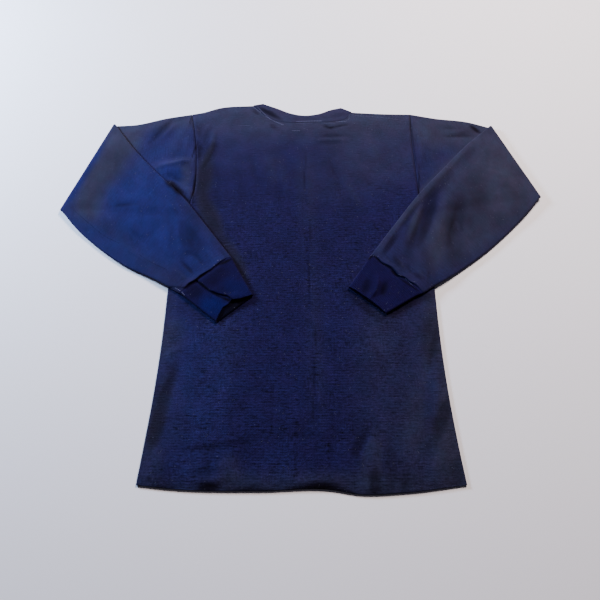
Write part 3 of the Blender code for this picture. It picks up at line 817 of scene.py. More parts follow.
# %% Folds of the forearms
FOREARM_LEFT = [
    Fold("elbow crown", -392, 262, -416, 150, 17, 1.2),
    Fold("middle", -318, 220, -262, 70, 22, 1.2),
    Fold("low ridge", -266, 110, -232, 20, 16, 1.8),
    Fold("low trough", -222, 98, -178, 34, 12, -1.6),
    Fold("upper edge", -230, 188, -150, 80, 14, 1.0),
    Fold("elbow facet", -340, 292, -374, 160, 12, -0.35, 4, 0.4),
    Fold("facet edge", -330, 262, -362, 130, 14, 0.3, -5),
    Fold("lower facet", -366, 120, -300, 66, 14, 0.8, -4),
    Fold("thin crease", -354, 135, -302, 141, 3.4, -0.6, 2, -0.3),
    Fold("above thin crease", -346, 146, -306, 152, 6, 0.4, 2),
    Fold("hook", -290, 170, -284, 160, 2.4, -0.8, -1),
    Fold("slant crease", -330, 90, -272, 40, 4, -0.6, 3, 0.3),
    Fold("slant ridge", -322, 100, -262, 50, 8, 0.6, 3),
    Fold("bright ridge", -256, 132, -230, 40, 9, 1.0, -3),
    Fold("cuff facet", -218, 112, -216, 40, 8, -0.9, -3),
    Fold("cuff facet, end", -214, 36, -184, 28, 7, -0.8, 2),
    Fold("gather one", -216, 18, -194, -5, 3, -1.0, 1),
    Fold("gather two", -228, 4, -206, -18, 3, 0.8, 1),
    Fold("gather three", -196, 34, -176, 12, 3.5, -0.9, 1),
    Fold("gather four", -172, 42, -158, 20, 3.5, 0.8, 1),
    Fold("gather five", -150, 44, -134, 24, 3, -0.7, 1),
    Fold("seam line", -430, 131, -362, 70, 3.5, 0.55, -2, 0.4),
    Fold("seam line, low", -336, 60, -244, 5, 3.5, 0.55, -3, 0.4),
]
FOREARM_RIGHT = [
    Fold("rolled edge, upper", 350, 288, 244, 168, 12, 1.6),
    Fold("rolled edge, lower", 244, 168, 140, 44, 12, 1.8),
    Fold("long trough", 256, 190, 194, 30, 10, -2.4),
    Fold("long ridge", 282, 170, 238, 40, 12, 2.0),
    Fold("outer trough", 300, 150, 280, 56, 10, -1.6),
    Fold("elbow", 384, 214, 372, 180, 34, 1.2),
    Fold("roll crown, upper", 350, 294, 234, 172, 4.5, 0.8),
    Fold("roll crown, lower", 228, 166, 134, 34, 4.5, 0.7),
    Fold("beside the roll, upper", 336, 264, 252, 174, 5.5, -1.5, -1, 0.5),
    Fold("beside the roll, lower", 248, 170, 152, 40, 5.5, -1.6, -4, 0.5),
    Fold("inner ridge", 232, 146, 200, 66, 6, 1.3, -3),
    Fold("first valley, low", 252, 156, 216, 56, 7, -1.2, 2),
    Fold("second valley", 290, 126, 274, 34, 12, -0.6, -3, 0.5),
    Fold("elbow hollow", 342, 196, 330, 136, 15, -0.5, 4),
    Fold("elbow swell", 400, 226, 392, 176, 16, 0.8, 4),
    Fold("elbow dimple", 372, 182, 366, 162, 8, -0.6),
    Fold("low edge", 336, 96, 262, 22, 12, 0.7, -4),
    Fold("gather one", 152, 32, 164, 14, 3, -0.8, 1),
    Fold("gather two", 172, 24, 184, 4, 3.5, 0.9, 1),
    Fold("gather three", 190, 14, 200, -6, 3, -0.9, -1),
    Fold("gather four", 210, 4, 216, -16, 3.5, 0.8, 1),
    Fold("gather five", 228, 2, 228, -20, 3, -0.8, 1),
]
print("the forearms have", len(FOREARM_LEFT), "and", len(FOREARM_RIGHT), "folds")

# %% Rise of a forearm's upper side
FOREARM_PUFF = 2.0     # loft of a forearm's upper side over its rounded edges
FOREARM_LOW = -1.6     # its troughs stop here, clear of its lower side
FOREARM_SHAPE = 0.7    # the smaller, the steeper it rises from its edges
CREASE_DEPTH = 1.5     # the creases in the tables are this much deeper in the cloth
FOREARM_RADIUS = 2.6   # of a forearm's edge
RADIUS_RUN = 60.0      # that radius is reached this far past the elbow
FOREARM_SWELLS = ((48.0, 0.3, 23), (19.0, 0.14, 29))     # size, height and seed
CUFF_OVERHANG = 2.0    # the gathered end of a sleeve stands this much above its forearm
OVERHANG_RUN = 8.0     # within this distance of the cuff seam
END_ROLL = 1.6         # and turns down over the seam in this length
END_DROP = 3.4         # by this much

# Near the left cuff the sleeve's lower side peeks out from under its upper side: share is how
# much of the width shows at the seam, and run how far from the seam it shows. The upper side
# drops there, at an edge as sharp as sharp says. The right sleeve has no such place.
Peek = namedtuple("Peek", "share run drop sharp")
PEEK_LEFT = Peek(0.115, 28.0, 1.9, 0.012)
PEEK_RIGHT = Peek(0.0, 1.0, 0.0, 0.012)
PEEK_FADE = 0.02       # share of the width over which the drop ends
EndDistance = namedtuple("EndDistance", "share to_seam")


def bulge(share, shape):
    """Return a soft arch over a tube's width: 0 at its edges and 1 in its middle."""
    return np.sin(math.pi * np.clip(share, 0.0, 1.0))**shape


def forearm_rise(folds, seed, end_distance, peek):
    """Return the function that says how far a forearm's upper side stands up."""
    def rise(spot, past, where):
        total = FOREARM_PUFF - FOREARM_LOW + CREASE_DEPTH * folds_at(spot, folds)
        total = FOREARM_LOW + above_floor(with_swells(total, spot, FOREARM_SWELLS, seed=seed))
        share = end_distance.share[where]
        end = end_distance.to_seam[where]
        lip = CUFF_OVERHANG * bell(end, OVERHANG_RUN) - END_DROP * rolled(end, END_ROLL) / END_ROLL
        edge = peek.share * (1.0 - end / peek.run)
        shown = peek.drop * (0.5 - 0.5 * np.tanh((share - edge) / peek.sharp)) * (edge > 0.0)
        raised = bulge(share, FOREARM_SHAPE) * smooth(past / RADIUS_RUN) * (total + lip)
        return raised - shown * smooth(edge / PEEK_FADE)
    return rise


# %% Sections of a sleeve
SLEEVE_CELL = 2.7      # millimetres between two sections
SLEEVE_ACROSS = 70     # cells across each side of a sleeve
BEND_ROWS = 8          # cells round the fold at the elbow


def arm_lines(table, cell):
    """Return the low and top ends of a straight sleeve's sections, and where they are.

    After the ends come the number of sections above the elbow and each section's distance
    from the cuff seam.
    """
    elbow = elbow_of(table)
    upper = []
    lower = []
    for names in (("low_out", "low_y"), ("top_out", "top_y")):
        line = np.array([[getattr(row, name) for name in names] for row in table], dtype=float)
        above = line[:ELBOW + 1].copy()
        above[-1] -= BEND_HEIGHT * elbow.out
        below = line[ELBOW:CUFF_SEAM + 1].copy()
        below[0] += (BEND_LENGTH - BEND_HEIGHT) * elbow.out
        upper.append(spline(above))
        lower.append(spline(below))
    up_length = np.mean([length_of(line) for line in upper])
    low_length = np.mean([length_of(line) for line in lower])
    up = edged(int(up_length / cell), up_length, True, False)
    down = edged(int(low_length / cell), low_length, False, True)
    ends = []
    for k in (0, 1):
        first = even(upper[k], up)
        bend = np.outer(np.linspace(0.0, 1.0, BEND_ROWS + 1)[1:-1], BEND_LENGTH * elbow.out)
        ends.append(np.vstack([first, first[-1] + bend, even(lower[k], down)]))
    to_seam = np.full(len(ends[0]), low_length)
    to_seam[-len(down):] = (1 - down) * low_length
    return ends[0], ends[1], len(up), to_seam


def meet_armhole(places, share, straight, armhole):
    """Bend the sections of an upper arm so that the sleeve's end follows the armhole."""
    along = unit(np.gradient(armhole, axis=0))
    line = armhole + SEAM_GAP * np.stack([along[:, 1], -along[:, 0]], axis=1)
    near = smooth(1.0 - np.linspace(0.0, 1.0, len(places)))[:, None, None]
    places += near * (even(line, share.ravel()).reshape(places.shape) - straight)


# %% Wander of the cuff seams
# place and width are shares of the sleeve's width, and height is in millimetres
Wave = namedtuple("Wave", "place width height")
SEAM_WAVE_LEFT = (Wave(0.2, 0.09, -2.6), Wave(0.42, 0.08, -1.4), Wave(0.62, 0.05, 0.9),
                  Wave(0.8, 0.06, -0.8), Wave(1.0, 0.05, 3.5))
SEAM_WAVE_RIGHT = (Wave(0.0, 0.12, 5.0), Wave(0.27, 0.08, 2.6), Wave(0.46, 0.08, 4.4),
                   Wave(0.62, 0.05, -0.6), Wave(0.77, 0.06, 1.4), Wave(0.92, 0.07, -2.2))
SHIFT_RUN = 14.0       # the wander fades this far from the seam


def seam_shift(places, share, to_seam, waves, table):
    """Return the places moved along the sleeve where its cuff seam wanders."""
    rows = table[CUFF_SEAM - 1:CUFF_SEAM + 1]
    run = np.array([rows[1].top_out - rows[0].top_out, rows[1].top_y - rows[0].top_y], dtype=float)
    run /= np.linalg.norm(run)
    wander = np.zeros_like(share)
    for wave in waves:
        wander += wave.height * bell(share - wave.place, wave.width)
    return places + (wander * bell(to_seam, SHIFT_RUN))[..., None] * run


print("the cuff seams wander in", len(SEAM_WAVE_LEFT), "and", len(SEAM_WAVE_RIGHT), "waves")


# %% Build the sleeves
def build_sleeve(name, side, table, armhole, folds, waves, peek, seed):
    """A sleeve, from its armhole to its cuff seam, folded at the elbow."""
    elbow = elbow_of(table)
    low, top, upper_rows, to_seam = arm_lines(table, SLEEVE_CELL)
    past = np.maximum(((low + top) / 2.0 - elbow.axis) @ elbow.out - BEND_LENGTH, 0.0)
    radius = ROLL + (FOREARM_RADIUS - ROLL) * smooth(past / RADIUS_RUN)
    places, height, share = tube_sections(low, top, radius, SLEEVE_ACROSS)
    pattern = cut_of(low, top, places, height)
    arm_share = share[:upper_rows]
    straight = low[0] + arm_share[..., None] * (top[0] - low[0])
    meet_armhole(places[:upper_rows], arm_share, straight, armhole * (side, 1.0))
    distance = np.broadcast_to(to_seam[:, None], share.shape)
    places = seam_shift(places, share, distance, waves, table)
    rise = forearm_rise(folds, seed, EndDistance(share, distance), peek)
    shaped = folded(places, height, radius, side, elbow, rise)
    if side > 0:
        shaped, pattern = shaped[:, ::-1], pattern[:, ::-1]
    return finish_wall(lay(name, shaped, pattern), WALL)


left_sleeve = build_sleeve("left_sleeve", -1, SLEEVE_LEFT, ARMHOLE_LEFT, FOREARM_LEFT,
                           SEAM_WAVE_LEFT, PEEK_LEFT, 0)
right_sleeve = build_sleeve("right_sleeve", 1, SLEEVE_RIGHT, ARMHOLE_RIGHT, FOREARM_RIGHT,
                            SEAM_WAVE_RIGHT, PEEK_RIGHT, 5)

# %% [markdown]
# ## The cuffs
#
# A cuff is a short tube of doubled rib, narrower than the sleeve that is gathered into it, and
# open at the wrist. The left one was caught as it was laid down: the half of its upper side
# that is nearer the middle of the back lies over the other half in a sharp step, and its mouth
# gapes where the step runs out. The right one is flat but for a small crescent of a bump.

# %% Steps, recesses and folds of the cuffs
# A step runs along and across, in shares of the cuff's length from the seam and of its width.
# One side of it is height above the other, and the smaller sharp is, the steeper it is.
Step = namedtuple("Step", "along across height sharp")
STEP_LEFT = Step((0.0, 0.4, 0.6, 0.82, 1.0), (0.33, 0.365, 0.435, 0.53, 0.56), 3.0, 0.014)
STEP_RIGHT = Step((0.0, 1.0), (0.10, 0.12), 0.4, 0.06)

# The upper side of a cuff stops short of the wrist, at shares of its width, and its rim has
# small scallops that are ripple deep.
Recess = namedtuple("Recess", "across short ripple")
RECESS_LEFT = Recess((0.0, 0.05, 0.14, 0.28, 0.41, 0.53, 0.62, 0.71, 0.85, 1.0),
                     (0.0, 3.5, 8.5, 14.5, 13.5, 15.5, 11.0, 7.0, 3.0, 0.0), 1.5)
RECESS_RIGHT = Recess((0.0, 0.2, 0.5, 0.8, 1.0), (0.0, 2.2, 3.0, 2.2, 0.0), 0.3)
CUFF_LEFT = [
    Fold("upper part", -170, -2, -112, -34, 12, 0.7, 2),
    Fold("upper part, second", -148, 12, -106, -18, 7, -0.5, 1),
    Fold("near the seam", -168, 18, -186, 0, 5, 0.5),
    Fold("lower part, crown", -186, -44, -152, -76, 8, 0.9, -1),
    Fold("lower part, dent", -164, -48, -154, -60, 3, -0.7),
    Fold("lower part, second dent", -158, -46, -150, -56, 3, 0.6),
    Fold("mouth lift", -130, -50, -92, -44, 7, 1.5),
]
CUFF_RIGHT = [
    Fold("crescent", 136, -12, 122, -50, 4, 3.0, 5, -0.4),
    Fold("right of the crescent", 147, -16, 138, -48, 5, -1.5, 4),
    Fold("left of the crescent", 120, -14, 110, -44, 6, -0.9, 2),
    Fold("rim", 106, 0, 92, -44, 4, 0.7, -1),
    Fold("wide swell", 178, -24, 150, -66, 13, 0.7, 2),
    Fold("near the seam", 160, 2, 178, -12, 5, -0.6),
]
CUFF_SWELLS = ((17.0, 0.22, 41), (7.0, 0.1, 43))     # size, height and seed
print("the cuffs have", len(CUFF_LEFT), "and", len(CUFF_RIGHT), "folds")

# %% Cuff helpers
CUFF_HOLLOW = 2.4      # open height between a cuff's two sides
CUFF_RADIUS = (2 * CUFF_WALL + CUFF_HOLLOW) / 2
CUFF_CELL = 1.7        # millimetres between two sections
CUFF_ACROSS = 62       # cells across each side of a cuff
CUFF_SHAPE = 0.5       # the smaller, the steeper it rises from its edges
RIPPLES = 15           # scallops along the rim of a cuff
TUCK = 1.3             # the upper side of a step hangs over its lower side by this much
TUCK_FADE = 3.0        # and no more this many times the step's sharpness away
MOUTH_ROLL = 1.0       # radius of the folded edge at the wrist
SEAM_DIP = 1.9         # a cuff is this much lower at its seam
SEAM_DIP_RUN = 4.5     # and level again this far from it


def cuff_lines(table):
    """Return a cuff's length and direction, and the share and the ends of each section."""
    rows = np.array([row[1:] for row in table[CUFF_SEAM:]], dtype=float)
    top_run, low_run = rows[1, :2] - rows[0, :2], rows[1, 2:] - rows[0, 2:]
    length = np.linalg.norm(low_run)
    fractions = edged(int(length / CUFF_CELL), length)
    fractions = SEAM_GAP / length + (1.0 - SEAM_GAP / length) * fractions
    low = rows[0, 2:] + fractions[:, None] * low_run
    top = rows[0, :2] + fractions[:, None] * top_run
    return length, top_run / np.linalg.norm(top_run), fractions, low, top


def cuff_height(xy, shape, over):
    """Return the height of what a cuff's upper or lower side lies on."""
    below = np.where(over, support(xy, 0.0).reshape(shape), support(xy).reshape(shape))
    return below + LAYER_GAP


# %% Build the cuffs
def build_cuff(name, side, table, folds, step, recess, waves):
    """A cuff, from its seam to the wrist."""
    elbow = elbow_of(table)
    length, run, fractions, low, top = cuff_lines(table)
    radius = np.full(len(low), CUFF_RADIUS)
    places, height, share = tube_sections(low, top, radius, CUFF_ACROSS)
    pattern = cut_of(low, top, places, height)
    at = np.broadcast_to(fractions[:, None], share.shape)
    over = height < CUFF_RADIUS
    # the rim stops short of the wrist, the seam wanders, and the step is tucked under
    scallops = recess.ripple * np.sin(2.0 * math.pi * RIPPLES * share)**2
    short = np.interp(share, recess.across, recess.short) + scallops
    places = places - (short * at**2 * over)[..., None] * run
    places = seam_shift(places, share, at * length, waves, table)
    past_step = (share - np.interp(at, step.along, step.across)) / step.sharp
    tuck = TUCK * step.height / STEP_LEFT.height * np.tanh(past_step) * bell(past_step, TUCK_FADE)
    places = places - (tuck * over)[..., None] * unit(top - low)[:, None]
    # the cuff is folded back with its forearm
    past = (places - elbow.axis) @ elbow.out
    spot = (places + (BEND_LENGTH - 2.0 * past)[..., None] * elbow.out) * (side, 1.0)
    xy = spot.reshape(-1, 2)
    relief = with_swells(folds_at(xy, folds), xy, CUFF_SWELLS).reshape(share.shape)
    relief = relief + 0.5 * step.height * np.tanh(past_step)
    dip = SEAM_DIP * bell(at * length, SEAM_DIP_RUN)
    mouth = rolled((1.0 - at) * length, MOUTH_ROLL)
    raised = np.where(over, bulge(share, CUFF_SHAPE) * (relief - dip) - mouth, mouth)
    z = cuff_height(xy, share.shape, over) + 2 * CUFF_RADIUS - height + raised
    shaped = np.dstack([spot, z])
    if side > 0:
        shaped, pattern = shaped[:, ::-1], pattern[:, ::-1]
    return finish_wall(lay(name, shaped, pattern), CUFF_WALL)


left_cuff = build_cuff("left_cuff", -1, SLEEVE_LEFT, CUFF_LEFT, STEP_LEFT, RECESS_LEFT,
                       SEAM_WAVE_LEFT)
right_cuff = build_cuff("right_cuff", 1, SLEEVE_RIGHT, CUFF_RIGHT, STEP_RIGHT, RECESS_RIGHT,
                        SEAM_WAVE_RIGHT)

# %% [markdown]
# ## The neckband
#
# The band is one ring of rib, folded double along its free edge. Laid flat, its back half lies
# above its front half and it turns over at the two shoulder points. Its section is a small
# rounded rectangle, carried round the ring, and the grid is closed both ways. The band is
# stretched at the shoulder points and slack between them, so it stands up a little there.

# %% Neckband
BAND_AROUND = 150      # cells along each half of the band
BAND_TURN = 10         # cells round each turn at the shoulder points
BAND_ROUND = 0.7       # radius of the section's corners
BAND_TAUT = 0.08       # share of each half that lies flat near a shoulder point
BAND_FLAT = 4.0        # the band also lies flat this near its seam, in millimetres
BAND_CORNER = 4        # points round a corner of the section
BAND_FACE = 9          # points across its face
BAND_FOLDS = [
    Fold("roll, left", -92, 376, -50, 360, 5, 0.8, -2),
    Fold("roll, centre", -40, 350, 50, 352, 5, 0.7, -2),
    Fold("roll, right", 56, 356, 92, 364, 5, 0.9, 1),
    Fold("dark hollow, left", -90, 370, -36, 344, 3, -0.9, -2),
    Fold("hollow, right", 60, 346, 92, 352, 3, -0.7, 1),
]


def band_section():
    """Return the section's face from the seam side, as pairs of a place and a height share.

    A place is an amount of the corner's radius in from the seam or out to the free edge, or a
    share of the straight run between the corners.
    """
    corner = np.linspace(0.0, math.pi / 2, BAND_CORNER)
    straight = np.linspace(0.0, 1.0, BAND_FACE)[1:-1]
    face = [(("in", 1 - math.cos(a)), math.sin(a)) for a in corner]
    face += [(("at", t), 1.0) for t in straight]
    face += [(("out", 1 - math.cos(a)), math.sin(a)) for a in corner[::-1]]
    return face


def build_neckband():
    """The neckband, a closed ring of folded rib."""
    face = band_section()
    halves = []
    for seam, edge, flip in ((SEAM_BACK, EDGE_BACK, 1.0), (SEAM_FRONT, EDGE_FRONT, -1.0)):
        fractions = np.linspace(0.0, 1.0, BAND_AROUND + 1)
        start, end = even(seam, fractions), even(edge, fractions)
        width = np.linalg.norm(end - start, axis=1)
        run = (end - start) / width[:, None]
        start = start + SEAM_GAP * run
        width = width - SEAM_GAP
        slack = smooth(np.minimum(fractions, 1.0 - fractions) / BAND_TAUT)
        rows = []
        for sign in (1.0, -1.0):
            for (kind, amount), tall in (face if sign > 0 else face[::-1]):
                offset = {"in": BAND_ROUND * amount, "out": width - BAND_ROUND * amount,
                          "at": BAND_ROUND + (width - 2 * BAND_ROUND) * amount}[kind]
                offset = np.broadcast_to(offset, width.shape)
                xy = start + offset[:, None] * run
                free = smooth(offset / BAND_FLAT)
                lift = folds_at(xy, BAND_FOLDS) * free * slack * (flip > 0.0)
                middle = ROLL + SEAM_GAP / 2 + WALL / 2
                half = WALL / 2 - BAND_ROUND + BAND_ROUND * tall if tall < 1.0 else WALL / 2
                z = middle + sign * half + lift
                rows.append(np.column_stack([xy, STACK - z if flip < 0 else z]))
        halves.append(np.array(rows).transpose(1, 0, 2))
    return halves


def turn_of(section, edge_point, seam_point, sign):
    """Return the sections of the band's turn at a shoulder point, from back to front."""
    run = sign * (seam_point - edge_point)
    out = np.array([-run[1], run[0]]) / np.linalg.norm(run)
    turned = []
    for angle in np.linspace(0.0, math.pi, BAND_TURN + 1)[1:-1]:
        radius = section[:, 2] - ROLL
        xy = section[:, :2] + np.outer(radius * math.sin(angle), out)
        turned.append(np.column_stack([xy, ROLL + radius * math.cos(angle)]))
    return turned


def close_neckband():
    """Join the two halves and the two turns, and lay them as one grid."""
    back, front = build_neckband()
    right = turn_of(back[-1], EDGE_BACK[-1], SEAM_BACK[-1], 1.0)
    left = turn_of(back[0], EDGE_BACK[0], SEAM_BACK[0], -1.0)
    sections = np.array(list(back) + right + list(front[::-1]) + left[::-1] + [back[0]])
    sections = np.concatenate([sections, sections[:, :1]], axis=1)
    along = lengths_along(sections[:, len(band_section()) // 2])
    around = lengths_round(sections)
    pattern = np.dstack([np.repeat(along[:, None], sections.shape[1], axis=1), around])
    return finish_wall(lay("neck_rib", sections[:, ::-1], pattern[:, ::-1]), 0.0)


neck_rib = close_neckband()

# %% [markdown]
# ## Wear, painted light and painted shade
#
# Navy dye rubs off where a garment is handled, folded and leant on, so the shoulders, the elbows
# and the sides of the body are painted greyer and a little paler, and that greyness also stands in
# for the sheen that the lamps lift there. Painted cold light makes the left forearm and some sides
# a brighter blue, and painted shade darkens the middle of the back, the curls of the hem, the
# creases, the seams and the shadows beside the left forearm and under the cuffs. Three masks go
# into one colour attribute: red is wear and sheen, green is painted light, and blue is painted
# shade. A fourth one says where the cloth has felted, so that its grain and its net no longer show.
#
# Each place is a soft ellipse. `long` and `wide` are half its length and its width,
# `turn` is its angle in degrees, and `amount` is how much of the mask it fills in its middle.

# %% Places of wear and sheen, painted light, painted shade and felting on the body
WEAR_LIGHT_AND_SHADE_MAP = "paint_wear_light_and_shade"          # name of the colour attribute
FELT_MAP = "felted"    # and of the fourth mask
Patch = namedtuple("Patch", "place x y long wide turn amount")
# painted shade in the grooves of the armhole seams
LEFT_ARMHOLE_SHADE = [
    Patch("left armhole, top", -223, 338, 14, 1.6, 84, 0.8),
    Patch("left armhole, middle", -211, 264, 24, 1.6, 78, 0.85),
    Patch("left armhole, low", -206, 176, 44, 1.8, 88, 0.85),
]
RIGHT_ARMHOLE_SHADE = [
    Patch("right armhole", 221, 290, 60, 1.6, 92, 0.6),
    Patch("right armhole, low", 225, 190, 40, 1.6, 86, 0.7),
]
# painted shadow of the left forearm on the back, darker and greyer; the same places are felted
FOREARM_SHADOW = [
    Patch("beside forearm, top", -190, 204, 54, 18, 88, 0.56),
    Patch("beside forearm, middle", -172, 118, 54, 17, -66, 0.6),
    Patch("beside forearm, low", -124, 26, 50, 16, -62, 0.56),
    Patch("left chest hollow", -183, 257, 34, 6, 73, 0.5),
]
# wear, and painted sheen where light grazes the shoulders, the sides and the hem; the forearm's
# painted shadow goes greyer here too
BODY_WEAR_AND_SHEEN = [
    Patch("shoulders", 0, 372, 330, 84, 0, 0.75),
    Patch("right shoulder", 165, 292, 112, 108, 0, 0.4),
    Patch("left chest", -120, 262, 90, 52, 0, 0.15),
    Patch("right of the middle", 70, 220, 90, 80, 0, 0.2),
    Patch("right side", 196, -200, 112, 210, 0, 0.3),
    Patch("right edge", 246, -205, 38, 200, 0, 0.75),
    Patch("right hip", 214, -330, 120, 80, 0, 0.15),
    Patch("left side", -252, -190, 36, 230, 0, 0.4),
    Patch("left waist", -224, -124, 22, 36, -12, 0.8),
    Patch("left side band", -231, -238, 74, 14, 78, 0.9),
    Patch("hem", 0, -380, 300, 34, 0, 0.5),
    *FOREARM_SHADOW,
]
BODY_FELTED = [
    Patch("upper back", 0, 330, 420, 195, 0, 0.85),
    Patch("left side", -240, -150, 60, 240, 0, 0.5),
    Patch("right side", 236, -200, 70, 260, 0, 0.5),
    *FOREARM_SHADOW,
]
# painted cold light: a brighter blue where the window's light falls
BODY_PAINTED_LIGHT = [
    Patch("left of the middle", -178, -180, 62, 190, 0, 0.75),
    Patch("right side band", 220, -215, 64, 15, 80, 0.45),
    Patch("left hem", -170, -335, 44, 30, 0, 0.45),
    Patch("hem, middle", -40, -340, 50, 26, 0, 0.35),
]
# painted shade: the curls of the hem, hollows, creases, seams, the middle of the back, and the
# shadows under the cuffs and beside the left forearm
BODY_PAINTED_SHADE = [
    Patch("curl, left", -148, -371, 19, 9, 3, 0.95),
    Patch("curl, left corner", -230, -371, 34, 4, 3, 0.7),
    Patch("curl, left of centre", -80, -376, 48, 5, 0, 0.8),
    Patch("curl, centre", 33, -372, 30, 11, -3, 1.0),
    Patch("curl, centre, thin", -2, -375, 30, 6, 0, 0.9),
    Patch("curl, centre, right", 70, -378, 24, 5, -14, 0.85),
    Patch("curl, right", 180, -378, 90, 3.5, 4, 0.6),
    Patch("hem, dark band", 115, -364, 8, 26, -4, 0.55),
    Patch("hem, second band", 163, -362, 8, 24, -6, 0.35),
    Patch("slanted hollow", 90, -304, 22, 8, 63, 0.5),
    Patch("level hollow", -138, -304, 70, 6, 10, 0.25),
    Patch("left side band", -231, -240, 72, 13, 78, 0.36),
    Patch("right side, upper hollow", 227, -136, 34, 5.5, 75, 0.28),
    Patch("right side hollow", 235, -260, 38, 9, 68, 0.4),
    Patch("right side, faint hollow", 203, -308, 14, 6, 60, 0.25),
    Patch("right hip hollow", 252, -345, 28, 8, 78, 0.25),
    Patch("under the right cuff", 180, -66, 46, 6, 29, 0.6),
    Patch("under the right cuff's end", 110, -63, 42, 9, -41, 0.6),
    Patch("under the left cuff", -120, -76, 38, 5, 34, 0.45),
    Patch("under the left cuff's edge", -186, -78, 36, 5, -39, 0.35),
    Patch("below the neck pucker", 62, 312, 34, 20, 0, 0.16),
    Patch("middle of the back", 10, 130, 150, 190, 0, 0.14),
    Patch("centre crease, upper", 6, 205, 70, 1.5, 87, 0.4),
    Patch("centre crease, middle", 14, 20, 110, 1.5, 88.5, 0.5),
    Patch("centre crease, low", 21, -190, 100, 1.6, 87.5, 0.45),
    *LEFT_ARMHOLE_SHADE,
    Patch("left armhole, shade", -201, 264, 20, 5, 80, 0.4),
    *RIGHT_ARMHOLE_SHADE,
    Patch("neck pucker", 60, 323, 7, 3, 0, 0.8),
    Patch("neck pucker, left", 51, 326, 8, 2.4, -32, 0.6),
    Patch("neck pucker, right", 82, 328, 17, 2.2, 8, 0.55),
    Patch("left neck hollow", -92, 360, 9, 4, -45, 0.5),
    Patch("left neck hollow, low", -57, 325, 8, 5, -40, 0.45),
    *[patch._replace(amount=0.85 * patch.amount) for patch in FOREARM_SHADOW],
]
print("the body has", len(BODY_WEAR_AND_SHEEN), "worn,", len(BODY_PAINTED_LIGHT), "bright and", len(BODY_PAINTED_SHADE),
      "deep places")

# %% Places of wear and sheen, painted light and painted shade on the sleeves
SEAM_STEP = 1          # the shade of an armhole goes on this far past the seam


def across_seam(shades, side):
    """Return the shades of an armhole, moved on to its sleeve."""
    return [shade._replace(x=shade.x + side * SEAM_STEP) for shade in shades]


# wear, and painted sheen on the elbow band and the shoulder, with a painted highlight along the
# armpit line
LEFT_WEAR_AND_SHEEN = [
    Patch("elbow band, top", -356, 280, 44, 37, 66, 1.0),
    Patch("elbow band, middle", -379, 212, 48, 35, 68, 1.0),
    Patch("elbow band, low", -398, 146, 46, 28, 84, 0.95),
    Patch("thin crease", -327, 137, 24, 9, 6, 0.5),
    Patch("elbow, top", -350, 308, 50, 34, 60, 0.7),
    Patch("low edge", -345, 48, 120, 26, -37, 0.35),
    Patch("top of the shoulder", -250, 350, 120, 34, 8, 0.7),
    Patch("armpit line", -258, 234, 28, 2.2, 22, 0.9),
    Patch("armpit swell", -226, 204, 12, 24, 0, 0.6),
]
# painted cold light on the forearm's facets and the armpit facet
LEFT_PAINTED_LIGHT = [
    Patch("elbow edge", -426, 204, 92, 13, 68, 0.85),
    Patch("low edge", -352, 48, 124, 26, -37, 0.75),
    Patch("middle of the forearm", -300, 150, 74, 84, -30, 0.95),
    Patch("low forearm", -256, 80, 92, 60, -40, 1.0),
    Patch("sleeve end", -190, 30, 50, 40, -40, 0.7),
    Patch("upper arm", -265, 270, 60, 50, 0, 0.4),
    Patch("armpit facet", -254, 212, 26, 17, -10, 0.85),
]
# painted shade in the elbow band, the armpit hole, the creases, the seam and the gathers
LEFT_PAINTED_SHADE = [
    Patch("elbow band", -381, 212, 96, 32, 67, 0.4),
    Patch("armpit hole", -250, 186, 15, 9, -40, 1.0),
    Patch("armpit hole, low", -236, 172, 14, 8, -50, 1.0),
    Patch("armpit line", -221, 158, 15, 2.4, -44, 0.9),
    *across_seam(LEFT_ARMHOLE_SHADE, -1),
    Patch("dark facet", -208, 66, 46, 12, 84, 0.2),
    Patch("upper edge", -214, 130, 60, 8, -46, 0.15),
    Patch("thin crease", -327, 138, 24, 3, 6, 0.3),
    Patch("gather", -205, 6, 16, 4, -46, 0.4),
]
# wear, and painted sheen over the elbow, the upper arm and the ridges of the right sleeve
RIGHT_WEAR_AND_SHEEN = [
    Patch("elbow", 400, 220, 90, 120, 0, 1.0),
    Patch("upper arm", 300, 330, 110, 60, 0, 0.9),
    Patch("middle", 320, 190, 60, 60, 0, 0.6),
    Patch("low edge", 320, 100, 130, 60, 38, 0.8),
    Patch("long ridge", 250, 60, 60, 14, 75, 0.6),
    Patch("inner ridge", 211, 100, 42, 9, 68, 0.6),
    Patch("roll", 240, 175, 150, 12, 48, 0.6),
]
# painted shade beside the roll, in the valleys, the notch, the wrinkle, the gathers and the seam
RIGHT_PAINTED_SHADE = [
    Patch("beside the roll, top", 318, 246, 36, 10, 48, 0.3),
    Patch("beside the roll, upper", 262, 182, 46, 11, 51, 0.45),
    Patch("beside the roll, middle", 203, 118, 40, 5, 55, 0.35),
    Patch("beside the roll, low", 162, 56, 28, 6, 55, 0.6),
    Patch("first valley", 237, 108, 58, 9, 70, 0.5),
    Patch("second valley", 282, 72, 52, 18, 84, 0.35),
    Patch("middle of the forearm", 318, 150, 56, 34, 68, 0.34),
    Patch("notch at the elbow", 349, 318, 13, 4, -48, 0.9),
    Patch("wrinkle of the upper arm", 312, 301, 27, 3.5, 2, 0.4),
    Patch("gathers, left", 172, 20, 13, 6, -60, 0.5),
    Patch("gathers, right", 208, -8, 9, 5, -40, 0.45),
    *across_seam(RIGHT_ARMHOLE_SHADE, 1),
]
print("the sleeves have", len(LEFT_PAINTED_SHADE), "and", len(RIGHT_PAINTED_SHADE), "deep places")

# %% Painted light and painted shade of the cuffs, and wear, sheen and painted shade of the neckband
# painted cold light on the left cuff
LEFT_CUFF_PAINTED_LIGHT = [
    Patch("lower part", -155, -66, 30, 22, -35, 0.95),
    Patch("upper part", -112, -36, 34, 18, -30, 0.5),
]
